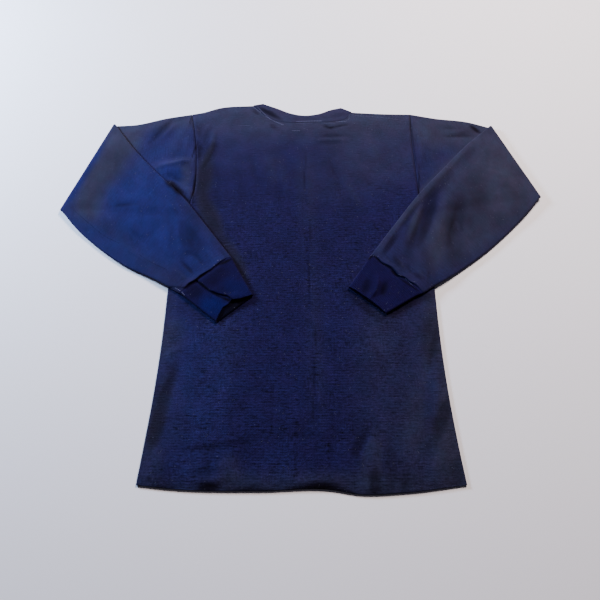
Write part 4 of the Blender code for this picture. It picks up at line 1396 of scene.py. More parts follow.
# painted shadow at the seam under the sleeve's lip, under the step, and beside the seam
LEFT_CUFF_PAINTED_SHADE = [
    Patch("seam, upper", -139, 19, 15, 3.2, 27, 1.0),
    Patch("seam, lower", -184, -11, 25, 3.4, 36, 1.0),
    Patch("step, first", -176, -27, 17, 2.2, -39, 0.95),
    Patch("step, second", -152, -44, 13, 2.2, -28, 0.95),
    Patch("step, third", -133, -53, 11, 2.6, -24, 0.95),
    Patch("step, fourth", -115, -56, 11, 2.6, 8, 0.95),
    Patch("step, last", -97, -51, 13, 2.4, 15, 0.95),
    Patch("upper part, by the seam", -154, -10, 26, 15, 32, 0.4),
    Patch("lower part, by the seam", -192, -38, 18, 14, -35, 0.45),
]
# painted shade along the seam and beside the crescent
RIGHT_CUFF_PAINTED_SHADE = [
    Patch("seam, first", 123, 28, 9, 3, 35, 0.95),
    Patch("seam, second", 145, 20, 21, 3, -42, 0.95),
    Patch("seam, third", 166, -2, 11, 3, -53, 0.95),
    Patch("seam, last", 190, -24, 24, 2.2, -38, 0.8),
    Patch("right of the crescent", 147, -34, 15, 6, 76, 0.7),
    Patch("left of the crescent", 115, -28, 18, 7, 70, 0.5),
]
# wear and painted sheen over the whole band
BAND_WEAR_AND_SHEEN = [Patch("whole band", 0, 350, 150, 90, 0, 1.0)]
# painted shade in the band's left hollow
BAND_PAINTED_SHADE = [Patch("left hollow", -64, 358, 30, 5.5, -33, 0.75)]
print("the cuffs have", len(LEFT_CUFF_PAINTED_SHADE), "and", len(RIGHT_CUFF_PAINTED_SHADE), "deep places")

# %% Paint the masks
CREASE_SHADE = 0.35     # how much painted shade darkens a trough one millimetre deep
RIDGE_SHEEN_AND_WEAR = 0.30      # and how much wear and painted sheen pale a ridge as high
FOREARM_FLOOR = 8.0    # a sleeve's cloth above this height belongs to its forearm
HEM_SIDE_SHADE = 0.97       # painted shade on the side of a thick edge that faces the hem, away from the lamps
INSIDE_SHADE = 0.97     # and painted shade inside a cuff
STEEP = 0.8            # a face that points up more than this isn't the side of an edge
SIDE_RUN = 0.5         # how much a face turns from plain to deep


def patches_at(xy, patches):
    """Return the joint mask of the patches, from 0 to 1, at places in millimetres."""
    bare = np.ones(len(xy))
    for patch in patches:
        turn = math.radians(patch.turn)
        rel = xy - (patch.x, patch.y)
        along = rel @ (math.cos(turn), math.sin(turn)) / patch.long
        across = rel @ (-math.sin(turn), math.cos(turn)) / patch.wide
        bare *= 1.0 - patch.amount * np.exp(-(along**2 + across**2)**2)
    return 1.0 - bare


def side_and_inside_shade(mesh):
    """Return painted shade for the corners of a thick tube that face the hem, and for its inner
    side.
    """
    facing = corners_of(mesh, "normal")
    side = HEM_SIDE_SHADE * smooth(-facing[:, 1] / SIDE_RUN) * smooth((STEEP - facing[:, 2]) / SIDE_RUN)
    side[len(side) // 2:] = INSIDE_SHADE      # Solidify puts the inner side's corners last
    return side


def both(first, second):
    """Return the mask that fills what either of two masks fills."""
    return 1 - (1 - first) * (1 - second)


def paint_wear_light_and_shade(piece, wear_and_sheen=(), bright=(), painted_shade=(), folds=(), forearm_folds=None, felted=(), thick=False):
    """Write the masks of wear and sheen, painted light, painted shade and felting on a piece as
    attributes, and let them follow its folds.
    """
    mesh = piece.data
    places = corners_of(mesh) / MM
    xy = places[:, :2]
    relief = folds_at(xy, folds)
    if forearm_folds:
        relief = np.where(places[:, 2] > FOREARM_FLOOR, folds_at(xy, forearm_folds), relief)
    masks = np.ones((len(xy), 4), dtype=np.float32)
    for channel, patches in enumerate((wear_and_sheen, bright, painted_shade)):
        masks[:, channel] = patches_at(xy, patches)
    # ridges are painted paler, as wear and sheen, and troughs darker, as painted shade
    masks[:, 0] = both(masks[:, 0], RIDGE_SHEEN_AND_WEAR * np.clip(relief, 0.0, 1.0))
    masks[:, 2] = both(masks[:, 2], CREASE_SHADE * np.clip(-relief, 0.0, 1.0))
    if thick:
        masks[:, 2] = both(masks[:, 2], side_and_inside_shade(mesh))
    mesh.attributes.new(WEAR_LIGHT_AND_SHADE_MAP, "FLOAT_COLOR", "POINT").data.foreach_set("color", masks.ravel())
    felt = patches_at(xy, felted).astype(np.float32)
    mesh.attributes.new(FELT_MAP, "FLOAT", "POINT").data.foreach_set("value", felt)
    print(piece.name, "worn, bright, deep:", masks[:, :3].mean(axis=0).round(2))


paint_wear_light_and_shade(back, BODY_WEAR_AND_SHEEN, BODY_PAINTED_LIGHT, BODY_PAINTED_SHADE, ALL_BODY_FOLDS, felted=BODY_FELTED)
paint_wear_light_and_shade(front, BODY_WEAR_AND_SHEEN, folds=FRONT_CREASES)
paint_wear_light_and_shade(left_sleeve, LEFT_WEAR_AND_SHEEN, LEFT_PAINTED_LIGHT, LEFT_PAINTED_SHADE, ALL_BODY_FOLDS, FOREARM_LEFT)
paint_wear_light_and_shade(right_sleeve, RIGHT_WEAR_AND_SHEEN, (), RIGHT_PAINTED_SHADE, ALL_BODY_FOLDS, FOREARM_RIGHT)
paint_wear_light_and_shade(left_cuff, (), LEFT_CUFF_PAINTED_LIGHT, LEFT_CUFF_PAINTED_SHADE, thick=True)
paint_wear_light_and_shade(right_cuff, (), (), RIGHT_CUFF_PAINTED_SHADE, thick=True)
paint_wear_light_and_shade(neck_rib, BAND_WEAR_AND_SHEEN, (), BAND_PAINTED_SHADE)

# %% [markdown]
# ## Things that lie on the cloth
#
# The neck seam is covered by two rows of pale stitches. They have sunk into the knit and show
# only in places, and a few more show at the shoulder, at the cuffs and along the underarm seam.
# Lint and short fibres have settled on the dark knit. There are hundreds of each, so one bead is
# modelled, and its corners are copied to every place by arrays. A ray dropped from above finds
# the cloth that shows at a place, and which way it faces there.

# %% Find the cloth at a place
CLOTH = [back, front, left_sleeve, right_sleeve, left_cuff, right_cuff, neck_rib]
Touch = namedtuple("Touch", "place normal piece")
START_HEIGHT = 0.2     # metres above or below the table


def tree_of(piece):
    """Return a search tree of a piece's faces."""
    return BVHTree.FromObject(piece, bpy.context.evaluated_depsgraph_get())


TREES = [(piece, tree_of(piece)) for piece in CLOTH]
print("search trees:", len(TREES))


def touch(x, y, from_below=False):
    """Return the outermost cloth at a place given in millimetres, or None."""
    side = -1.0 if from_below else 1.0
    start = Vector((x * MM, y * MM, side * START_HEIGHT))
    found = None
    for piece, tree in TREES:
        place, normal, _, away = tree.ray_cast(start, Vector((0.0, 0.0, -side)))
        if place and (found is None or away < found[0]):
            found = (away, Touch(np.array(place), np.array(normal), piece))
    return found[1] if found else None


# %% One bead, copied to many places
# turn is a bead's heading in radians, and the last three are its sizes in millimetres
Bit = namedtuple("Bit", "x y turn long wide tall")


def bead():
    """Return the corners and the faces of a small round bead, one millimetre across."""
    bpy.ops.mesh.primitive_uv_sphere_add(segments=6, ring_count=4, radius=0.5 * MM)
    ball = bpy.context.object
    corners = np.array([vertex.co for vertex in ball.data.vertices])
    faces = [tuple(face.vertices) for face in ball.data.polygons]
    bpy.data.meshes.remove(ball.data)
    return corners, faces


def settled(bits, from_below=False):
    """Return the beads' corners and faces, sorted by the piece that each one lies on."""
    corners, faces = bead()
    lying = {}
    for bit in bits:
        found = touch(bit.x, bit.y, from_below)
        if found is None:
            continue
        heading = np.array([math.cos(bit.turn), math.sin(bit.turn), 0.0])
        heading -= heading.dot(found.normal) * found.normal
        heading /= np.linalg.norm(heading)
        aside = np.cross(found.normal, heading)
        frame_of_bead = np.array([heading * bit.long, aside * bit.wide, found.normal * bit.tall])
        points, sides = lying.setdefault(found.piece.name, ([], []))
        first = sum(len(group) for group in points)
        points.append(found.place + corners @ frame_of_bead)
        sides.extend(tuple(first + k for k in face) for face in faces)
    return lying


def joined(name, points, faces, material):
    """Make one mesh of many small shapes."""
    mesh = bpy.data.meshes.new(name)
    mesh.from_pydata(np.vstack(points).tolist(), [], faces)
    mesh.materials.append(material)
    mesh.shade_smooth()
    small = bpy.data.objects.new(name, mesh)
    bpy.context.collection.objects.link(small)
    mesh.calc_loop_triangles()
    print(name, len(mesh.loop_triangles), "triangles")
    return small


# %% Rows of stitches
Spot = namedtuple("Spot", "x y wide")
STITCH = 2.7           # length of a stitch
STITCH_STEP = 3.1      # from one stitch to the next
STITCH_RISE = 0.55     # height of a stitch, half of it sunk in the knit
HIDDEN_RISE = 0.3      # and where the garment rests on it
HIDDEN_WIDE = 0.5      # width of a stitch there

NECK_ROWS = [
    [Spot(-99, 375, 0.55), Spot(-80, 358, 0.8), Spot(-60, 342, 0.7), Spot(-46, 334, 0.9),
     Spot(-36, 329, 1.2)],
    [Spot(-90, 375, 0.7), Spot(-76, 358, 0.8), Spot(-64, 345, 0.3)],
    [Spot(-11, 338, 0.8), Spot(15, 339, 1.2), Spot(41, 339.5, 1.4)],
    [Spot(-11, 333, 0.3), Spot(6, 333, 0.3), Spot(22, 334, 0.2)],
    [Spot(45, 334, 0.3), Spot(57, 333.5, 0.4), Spot(69, 334, 0.3)],
    [Spot(69, 337, 0.6), Spot(80, 338, 0.9), Spot(92, 339, 0.9)],
    [Spot(94, 341, 0.4), Spot(97, 348, 0.35), Spot(95, 357, 0.25)],
]
SHOULDER_ROW = [Spot(96, 355, 0.5), Spot(130, 351, 0.5), Spot(170, 346, 0.4),
                Spot(205, 339, 0.2)]
LOOSE_THREAD = [Spot(-128, 326, 0.2), Spot(-114, 327, 0.3), Spot(-100, 326, 0.2)]
TACK = [Spot(-19, 314, 0.7), Spot(-3, 314, 0.7)]
TACK_TAIL = [Spot(-8, 274, 0.15), Spot(-7, 270, 0.4), Spot(-7, 266, 0.15)]
CUFF_THREADS = [
    [Spot(173, -6, 0.5), Spot(186, -14, 0.7), Spot(198, -27, 0.5)],
    [Spot(126, 34, 0.5), Spot(140, 30, 0.6)],
    [Spot(-160, 10, 0.9), Spot(-155, 13, 0.9)],
    [Spot(-153, 20, 0.8), Spot(-150, 23, 0.8)],
    [Spot(-226, -30, 0.9), Spot(-214, -38, 1.1), Spot(-207, -46, 0.9)],
]
UNDERARM_ROWS = [
    [Spot(-430, 130, 0.6), Spot(-398, 102, 0.6), Spot(-360, 72, 0.6), Spot(-336, 60, 0.6)],
    [Spot(-298, 37, 0.6), Spot(-271, 19, 0.6), Spot(-243, 5, 0.6)],
]
FRONT_ROWS = (1.2, 7.5)     # distances of the front's rows from the neck seam
ROW_SKIP = 20          # such a row has a spot at every twentieth place of the seam


def stitches_along(spots):
    """Return the beads of a row of stitches through the spots."""
    line = spline(np.array(spots))
    length = length_of(line[:, :2])
    count = max(int(length / STITCH_STEP), 1)
    middle = even(line, (np.arange(count) + 0.5) / count)
    ahead = even(line, (np.arange(count) + 0.6) / count)     # gives each stitch its heading
    return [Bit(x, y, math.atan2(dy, dx), STITCH, wide, STITCH_RISE)
            for (x, y, wide), (dx, dy, _) in zip(middle, ahead - middle)]


def beside(line, distance):
    """Return the spots of a row that runs beside a line, on its upper side."""
    line = line[::ROW_SKIP]
    run = unit(np.gradient(line, axis=0))
    moved = line + distance * np.stack([-run[:, 1], run[:, 0]], axis=1)
    return [Spot(x, y, HIDDEN_WIDE) for x, y in moved]


pale_rows = [*NECK_ROWS, SHOULDER_ROW, LOOSE_THREAD, TACK, TACK_TAIL, *CUFF_THREADS]
pale = settled([bit for row in pale_rows for bit in stitches_along(row)])
hidden = settled([bit._replace(tall=HIDDEN_RISE) for distance in FRONT_ROWS
                  for bit in stitches_along(beside(SEAM_FRONT, distance))], from_below=True)
dark = settled([bit for row in UNDERARM_ROWS for bit in stitches_along(row)])
print("stitches lie on", sorted(set(pale) | set(hidden) | set(dark)))

# %% Lint and fibres
FLECKS = 130           # how many beads of lint
FLECK_SIZES = (0.3, 0.6)       # their least and greatest width
FLECK_LENGTHS = (1.0, 2.0)     # their length, as a multiple of that
FLECK_TALL = 0.6       # and their height
FIBRES = 120
FIBRE_STEPS = 7        # points along a fibre
FIBRE_RADIUS = 0.11
FIBRE_LENGTHS = (2.5, 9.0)     # the least and the greatest
FIBRE_BEND = 0.35      # how much a fibre turns from point to point, in radians
FIBRE_SIDES = (0.5, 2.6, 4.7)  # directions of its three long edges, in radians
FIBRE_TIP = 0.25       # its ends keep the width that it has at this part of an arch
FIBRE_TAPER = 0.4      # the smaller, the more slowly it narrows
REACH_X, REACH_Y = 450.0, 370.0
DUSTY_BELOW = 60.0     # all that falls lower than this stays, and of the rest this share
DUSTY_SHARE = 0.35
LINT_SEED = 5
chance = np.random.default_rng(LINT_SEED)


def dusty_place():
    """Return a random place on the top, more often on the lower part of the body."""
    while True:
        x, y = chance.uniform(-REACH_X, REACH_X), chance.uniform(-REACH_Y, REACH_Y)
        if chance.random() < (1.0 if y < DUSTY_BELOW else DUSTY_SHARE):
            found = touch(x, y)
            if found:
                return x, y, found


def strand(points, normals):
    """Return the corners and faces of a thin three-sided strand."""
    aside = unit(np.cross(normals, np.gradient(points, axis=0)))
    arch = np.sin(np.linspace(FIBRE_TIP, math.pi - FIBRE_TIP, len(points)))
    radius = FIBRE_RADIUS * MM * (arch**FIBRE_TAPER)[:, None]
    rings = [points + radius * (math.cos(angle) * aside + math.sin(angle) * normals)
             for angle in FIBRE_SIDES]
    corners = np.array(rings).transpose(1, 0, 2).reshape(-1, 3)
    sides = len(FIBRE_SIDES)
    faces = []
    for k in range(len(points) - 1):
        for m in range(sides):
            a, b = sides * k + m, sides * k + (m + 1) % sides
            faces.append((a, a + sides, b + sides, b))
    last = sides * (len(points) - 1)
    return corners, faces + [(0, 1, 2), (last + 2, last + 1, last)]


def lay_fibres(count, lying):
    """Drop curved fibres on the cloth and add them to what lies on each piece."""
    for _ in range(count):
        x, y, found = dusty_place()
        heading, bend = chance.uniform(0.0, 2.0 * math.pi), chance.normal(0.0, FIBRE_BEND)
        step = chance.uniform(*FIBRE_LENGTHS) / FIBRE_STEPS
        spots = [found]
        while len(spots) < FIBRE_STEPS:
            x, y = x + step * math.cos(heading), y + step * math.sin(heading)
            heading += bend
            here = touch(x, y)
            if here is None or here.piece != found.piece:
                break
            spots.append(here)
        if len(spots) < FIBRE_STEPS:
            continue
        normals = np.array([spot.normal for spot in spots])
        points = np.array([spot.place for spot in spots]) + FIBRE_RADIUS * MM * normals
        corners, faces = strand(points, normals)
        groups, sides = lying.setdefault(found.piece.name, ([], []))
        first = sum(len(group) for group in groups)
        groups.append(corners)
        sides.extend(tuple(first + k for k in face) for face in faces)


flecks = []
for _ in range(FLECKS):
    x, y, _ = dusty_place()
    size = chance.uniform(*FLECK_SIZES)
    turn = chance.uniform(0.0, math.pi)
    long = size * chance.uniform(*FLECK_LENGTHS)
    flecks.append(Bit(x, y, turn, long, size, FLECK_TALL * size))
lint = settled(flecks)
lay_fibres(FIBRES, lint)
print("lint lies on", sorted(lint))

# %% [markdown]
# ## Node groups for the knit
#
# A thermal knit is a net of small raised ribs round shallow hollows, a few millimetres apart, and
# it traps air. The group "thermal knit" makes that net from two cosine waves, one along the
# courses and one along the wales. "yarn" makes the chevrons that single stitches form, "slub"
# the short darker and paler rows where the yarn is uneven, and "nap" the fuzz and the uneven
# fading of a washed garment. Each takes the cut's flat coordinates, in metres, so the pattern
# follows the cloth round its folds.

# %% Node helpers
class Wires:
    """Adds nodes to a tree, and links or sets their inputs as it goes."""

    def __init__(self, tree):
        self.tree = tree

    def node(self, kind, inputs=(), **settings):
        """Add one node, with settings for its menus and values or links for its inputs."""
        made = self.tree.nodes.new(kind)
        made.location = (180 * len(self.tree.nodes), 0)
        for key, value in settings.items():
            setattr(made, key, value)
        for socket, value in inputs:
            if isinstance(value, bpy.types.NodeSocket):
                self.tree.links.new(value, made.inputs[socket])
            else:
                made.inputs[socket].default_value = value
        return made

    def math(self, operation, *values):
        """Add a Math node and return its output."""
        return self.node("ShaderNodeMath", enumerate(values), operation=operation).outputs[0]

    def vector(self, operation, a, b):
        """Add a Vector Math node and return its output."""
        return self.node("ShaderNodeVectorMath", enumerate((a, b)), operation=operation).outputs[0]

    def noise(self, place, scale, detail=2.0, roughness=0.5):
        """Add a Noise Texture and return the node."""
        return self.node("ShaderNodeTexNoise", (("Vector", place), ("Scale", scale),
                                                ("Detail", detail), ("Roughness", roughness)))

    def ramp(self, value, low, high, to_low=0.0, to_high=1.0):
        """Map a value from one range to another, held at its ends."""
        return self.node("ShaderNodeMapRange", enumerate((value, low, high, to_low, to_high)),
                         interpolation_type="SMOOTHSTEP").outputs[0]

    def scaled(self, colour, factor):
        """Multiply a colour or a vector by one value."""
        return self.node("ShaderNodeVectorMath", (("Vector", colour), ("Scale", factor)),
                         operation="SCALE").outputs[0]

    def mix(self, share, first, second):
        """Mix two colours, which are sockets 6 and 7 of a Mix node."""
        return self.node("ShaderNodeMix", ((0, share), (6, first), (7, second)),
                         data_type="RGBA", clamp_factor=True).outputs[2]

    def group(self, name, **inputs):
        """Place one of the node groups and return its outputs."""
        return self.node("ShaderNodeGroup", inputs.items(), node_tree=GROUPS[name]).outputs


def new_group(name, inputs, outputs):
    """Return an empty shader node group, its Wires, and the outputs of its input node."""
    group = bpy.data.node_groups.new(name, "ShaderNodeTree")
    for label, kind in inputs:
        group.interface.new_socket(label, in_out="INPUT", socket_type="NodeSocket" + kind)
    for label in outputs:
        group.interface.new_socket(label, in_out="OUTPUT", socket_type="NodeSocketFloat")
    wires = Wires(group)
    given = wires.node("NodeGroupInput").outputs
    return group, wires, given


def give(wires, **values):
    """Link values to a group's outputs."""
    wires.node("NodeGroupOutput", values.items())


# %% Knit groups
WALE_HEIGHT = 0.7      # height of the net's upright ribs beside its level ones


def knit_group():
    """A net of raised ribs, with cells Across wide and Along high."""
    group, w, given = new_group(
        "thermal knit", (("Cut", "Vector"), ("Across", "Float"), ("Along", "Float"),
                         ("Wander", "Float")), ("Height",))
    stray = w.noise(given["Cut"], scale=28.0).outputs["Color"]
    shift = w.scaled(w.vector("SUBTRACT", stray, (0.5, 0.5, 0.5)), given["Wander"])
    place = w.node("ShaderNodeSeparateXYZ", ((0, w.vector("ADD", given["Cut"], shift)),)).outputs
    waves = []
    for axis, size in ((0, "Across"), (1, "Along")):
        turns = w.math("DIVIDE", place[axis], given[size])
        wave = w.math("COSINE", w.math("MULTIPLY", turns, 2.0 * math.pi))
        waves.append(w.ramp(wave, -0.4, 1.0))
    give(w, Height=w.math("MAXIMUM", waves[1], w.math("MULTIPLY", waves[0], WALE_HEIGHT)))
    return group


def yarn_group():
    """The chevrons of single stitches, with wales Wale wide and courses Course high."""
    group, w, given = new_group(
        "yarn", (("Cut", "Vector"), ("Wale", "Float"), ("Course", "Float")), ("Height",))
    place = w.node("ShaderNodeSeparateXYZ", ((0, given["Cut"]),)).outputs
    wale = w.math("ABSOLUTE", w.math("SUBTRACT", w.math("FRACT", w.math(
        "DIVIDE", place[0], given["Wale"])), 0.5))
    course = w.math("ADD", w.math("DIVIDE", place[1], given["Course"]), wale)
    loop = w.math("ABSOLUTE", w.math("SINE", w.math("MULTIPLY", course, math.pi)))
    groove = w.ramp(wale, 0.36, 0.5, 1.0, 0.25)
    give(w, Height=w.math("MULTIPLY", loop, groove))
    return group


def rib_group():
    """Upright ribs, Pitch from one to the next, drawn up unevenly."""
    group, w, given = new_group("rib", (("Cut", "Vector"), ("Pitch", "Float")), ("Height",))
    place = w.node("ShaderNodeSeparateXYZ", ((0, given["Cut"]),)).outputs
    stray = w.noise(given["Cut"], scale=60.0, detail=1.0).outputs[0]
    turns = w.math("ADD", w.math("DIVIDE", place[0], given["Pitch"]),
                   w.math("MULTIPLY", stray, 0.5))
    wave = w.math("COSINE", w.math("MULTIPLY", turns, 2.0 * math.pi))
    give(w, Height=w.ramp(wave, -0.8, 0.9))
    return group


def slub_group():
    """Short uneven rows: Rows along the courses, Columns along the wales, from -1 to 1."""
    group, w, given = new_group("slub", (("Cut", "Vector"),), ("Rows", "Columns", "Patch"))
    noises = []
    for stretch in ((150.0, 300.0, 1.0), (56.0, 300.0, 1.0), (330.0, 80.0, 1.0)):
        place = w.vector("MULTIPLY", given["Cut"], stretch)
        noises.append(w.noise(place, scale=1.0, detail=1.0).outputs[0])
    fine, broad, upright = noises
    patch = w.ramp(w.noise(given["Cut"], scale=24.0).outputs[0], 0.40, 0.62)
    other = w.ramp(w.noise(given["Cut"], scale=19.0, detail=1.0).outputs[0], 0.45, 0.65, 0.0, 0.8)
    short_rows = w.ramp(fine, 0.32, 0.68, -0.5, 0.5)
    dark_rows = w.ramp(broad, 0.56, 0.70, 0.0, -1.1)
    pale_rows = w.ramp(broad, 0.30, 0.44, 0.8, 0.0)
    rows = w.math("MULTIPLY_ADD", w.math("ADD", dark_rows, pale_rows),
                  w.ramp(patch, 0.0, 1.0, 0.45, 1.0), short_rows)
    columns = w.math("MULTIPLY", w.ramp(upright, 0.32, 0.68, -1.0, 1.0), other)
    give(w, Rows=rows, Columns=columns, Patch=patch)
    return group


def nap_group():
    """Fuzz and broad uneven fading, from -1 to 1, and Tint, where the dye leans to purple."""
    group, w, given = new_group("nap", (("Cut", "Vector"),), ("Fuzz", "Fade", "Tint"))
    fine = w.noise(given["Cut"], scale=340.0, detail=3.0, roughness=0.7).outputs[0]
    broad = w.noise(given["Cut"], scale=27.0, detail=4.0, roughness=0.55).outputs[0]
    fuzz, fade = [w.ramp(noise, 0.3, 0.7, -1.0, 1.0) for noise in (fine, broad)]
    moved = w.vector("ADD", given["Cut"], (3.7, 1.3, 0.0))     # so that it differs from the fading
    tint = w.ramp(w.noise(moved, scale=38.0, detail=3.0).outputs[0], 0.34, 0.66)
    give(w, Fuzz=fuzz, Fade=fade, Tint=tint)
    return group


def speck_group():
    """Specks of lint caught in the knit, crowded in some places and absent in others."""
    group, w, given = new_group("specks", (("Cut", "Vector"),), ("Speck",))
    cell = w.node("ShaderNodeTexVoronoi", (("Vector", given["Cut"]), ("Scale", 170.0))).outputs
    spot = w.ramp(cell["Distance"], 0.05, 0.16, 1.0, 0.0)
    chosen = w.node("ShaderNodeSeparateColor", ((0, cell["Color"]),)).outputs[0]
    crowd = w.noise(given["Cut"], scale=34.0).outputs[0]
    level = w.ramp(w.math("MULTIPLY_ADD", chosen, 0.4, crowd), 0.70, 0.95)
    give(w, Speck=w.math("MULTIPLY", spot, level))
    return group


GROUPS = {group.name: group for group in (knit_group(), yarn_group(), rib_group(), slub_group(),
                                          nap_group(), speck_group())}
print("node groups:", sorted(GROUPS))

# %% [markdown]
# ## Materials
#
# Dyed cotton knit is rough and nearly black-blue, and its nap lifts a pale, cold bloom where it is
# seen along the surface. So each material is one Principled BSDF with a high roughness and a
# little sheen. The masks choose between the fresh dye, the faded colour of wear and painted sheen,
# and the brighter blue of painted cold light, painted shade darkens that colour, and the knit is
# painted darker in its hollows and paler on its ribs, as their shade and light.

# %% Looks of the cloth
# heights are in millimetres, and grain is how much the slubs and the fuzz show in the colour
# the faded colour is wear that also stands in for painted sheen, and the bright colour is the blue
# of painted cold light
Look = namedtuple("Look", "dye faded bright grain sheen net_height yarn_height rib_height")
BODY_LOOK = Look(dye=(0.0066, 0.0053, 0.0350, 1.0), faded=(0.0205, 0.0222, 0.0385, 1.0),
                 bright=(0.0096, 0.0100, 0.0520, 1.0), grain=0.46, sheen=0.06,
                 net_height=0.20, yarn_height=0.14, rib_height=0.0)
SLEEVE_LOOK = Look(dye=(0.0092, 0.0090, 0.0370, 1.0), faded=(0.0192, 0.0202, 0.0375, 1.0),
                   bright=(0.0070, 0.0090, 0.0585, 1.0), grain=0.12, sheen=0.06,
                   net_height=0.12, yarn_height=0.10, rib_height=0.0)
RIB_LOOK = Look(dye=(0.0044, 0.0026, 0.0275, 1.0), faded=(0.0190, 0.0185, 0.0410, 1.0),
                bright=(0.0020, 0.0034, 0.0450, 1.0), grain=0.12, sheen=0.03,
                net_height=0.0, yarn_height=0.12, rib_height=0.3)
NET_CELL = 0.0045      # metres from one rib of the net to the next
NET_WANDER = 0.004     # and how far they stray
RIB_PITCH = 0.0026
WALE, COURSE = 0.0012, 0.0009      # width and height of a single stitch
SHADE_SHARE = (0.13, 0.07, 0.10)      # share of each colour that painted shade leaves in the darkest places
BLUE_SIDE = (0.92, 1.04, 1.02)     # the dye where it leans to blue
PURPLE_SIDE = (1.06, 0.97, 0.99)   # and where it leans to purple
LINT_COLOUR = (0.085, 0.09, 0.13, 1.0)
SPECK_COVER = 0.5      # how much of that a speck has
FELT_LOSS = 0.6        # how much of its grain the cloth has lost under the mask of wear and painted sheen
FORM_TONE = 0.3        # how much the net or the ribs show in the colour, with painted shade in their hollows
COLUMN_TONE = 0.5      # and the upright slubs
FUZZ_TONE = 0.4        # and the fuzz
FADE_TONE = 0.14       # and the uneven fading
SLUB_HEIGHT = 0.3      # height of a slub, in millimetres, where all of the grain shows
FUZZ_HEIGHT = 0.05
BUMP_STRENGTH = 0.9
SHEEN_TINT = (0.9, 0.72, 1.0, 1.0)


def new_material(name, roughness, shine):
    """Return a new material and its shader."""
    material = bpy.data.materials.new(name)
    material.use_nodes = True
    shader = material.node_tree.nodes["Principled BSDF"]
    shader.inputs["Roughness"].default_value = roughness
    shader.inputs["Specular IOR Level"].default_value = shine
    return material, shader


def cloth_material(name, look):
    """A dyed knit, with the net of the body or the ribs of the cuffs."""
    material, shader = new_material(name, roughness=0.9, shine=0.04)
    shader.inputs["Sheen Weight"].default_value = look.sheen
    shader.inputs["Sheen Roughness"].default_value = 0.5
    shader.inputs["Sheen Tint"].default_value = SHEEN_TINT
    w = Wires(material.node_tree)
    cut = w.node("ShaderNodeUVMap", uv_map=CUT_MAP).outputs[0]
    if look.rib_height:
        form = w.group("rib", Cut=cut, Pitch=RIB_PITCH)["Height"]
    else:
        form = w.group("thermal knit", Cut=cut, Across=NET_CELL, Along=NET_CELL,
                       Wander=NET_WANDER)["Height"]
    form_height = look.rib_height or look.net_height
    yarn = w.group("yarn", Cut=cut, Wale=WALE, Course=COURSE)["Height"]
    slub = w.group("slub", Cut=cut)
    nap = w.group("nap", Cut=cut)
    speck = w.group("specks", Cut=cut)["Speck"]
    paint_wear_light_and_shade = w.node("ShaderNodeAttribute", attribute_name=WEAR_LIGHT_AND_SHADE_MAP).outputs["Color"]
    masks = w.node("ShaderNodeSeparateColor", ((0, paint_wear_light_and_shade),)).outputs
    wear_and_sheen, bright, painted_shade = masks[0], masks[1], masks[2]
    # the knit's hollows are painted darker and its crests paler, as their shade and light
    net = w.math("MULTIPLY", w.math("SUBTRACT", form, 0.5), FORM_TONE)
    if not look.rib_height:
        net = w.math("MULTIPLY", net, slub["Patch"])
    grain = w.math("MULTIPLY_ADD", slub["Columns"], COLUMN_TONE, net)
    for value, amount in ((slub["Rows"], 1.0), (nap["Fuzz"], FUZZ_TONE)):
        grain = w.math("MULTIPLY_ADD", value, amount, grain)
    felted = w.node("ShaderNodeAttribute", attribute_name=FELT_MAP).outputs["Fac"]
    felted = w.math("MAXIMUM", felted, w.math("MULTIPLY", wear_and_sheen, FELT_LOSS))
    kept = w.math("MULTIPLY", w.math("SUBTRACT", 1.0, felted), look.grain)
    tone = w.math("MULTIPLY_ADD", nap["Fade"], FADE_TONE,
                  w.math("MULTIPLY_ADD", grain, kept, 1.0))
    # the bright colour is painted cold light, and the faded one is wear and painted sheen
    colour = w.mix(bright, w.mix(wear_and_sheen, look.dye, look.faded), look.bright)
    colour = w.mix(nap["Tint"], w.vector("MULTIPLY", colour, BLUE_SIDE),
                   w.vector("MULTIPLY", colour, PURPLE_SIDE))
    # painted shade darkens the colour where its mask lies
    colour = w.mix(painted_shade, colour, w.vector("MULTIPLY", colour, SHADE_SHARE))
    colour = w.scaled(colour, tone)
    colour = w.mix(w.math("MULTIPLY", speck, SPECK_COVER), colour, LINT_COLOUR)
    w.tree.links.new(colour, shader.inputs["Base Color"])
    flattened = w.math("MULTIPLY_ADD", felted, -form_height, form_height)
    height = w.math("MULTIPLY", form, flattened)
    for value, tall in ((yarn, look.yarn_height), (slub["Rows"], SLUB_HEIGHT * look.grain),
                        (nap["Fuzz"], FUZZ_HEIGHT)):
        height = w.math("MULTIPLY_ADD", value, tall, height)
    bump = w.node("ShaderNodeBump", (("Strength", BUMP_STRENGTH), ("Distance", MM),
                                     ("Height", height)))
    w.tree.links.new(bump.outputs[0], shader.inputs["Normal"])
    return material


def plain_material(name, colour, roughness, shine):
    """A material of one colour."""
    material, shader = new_material(name, roughness, shine)
    shader.inputs["Base Color"].default_value = colour
    return material


body_knit = cloth_material("body knit", BODY_LOOK)
sleeve_knit = cloth_material("sleeve knit", SLEEVE_LOOK)
cuff_rib = cloth_material("cuff rib", RIB_LOOK)
neck_knit = cloth_material("neck rib", RIB_LOOK)
pale_thread = plain_material("pale thread", (0.115, 0.12, 0.20, 1.0), roughness=0.7, shine=0.1)
dark_thread = plain_material("dark thread", (0.0015, 0.002, 0.009, 1.0), roughness=0.9, shine=0.02)
lint_fibre = plain_material("lint", LINT_COLOUR, roughness=0.8, shine=0.1)
for piece, material in ((back, body_knit), (front, body_knit), (left_sleeve, sleeve_knit),
                        (right_sleeve, sleeve_knit), (left_cuff, cuff_rib), (right_cuff, cuff_rib),
                        (neck_rib, neck_knit)):
    piece.data.materials.append(material)
print("materials:", sorted(material.name for material in bpy.data.materials))

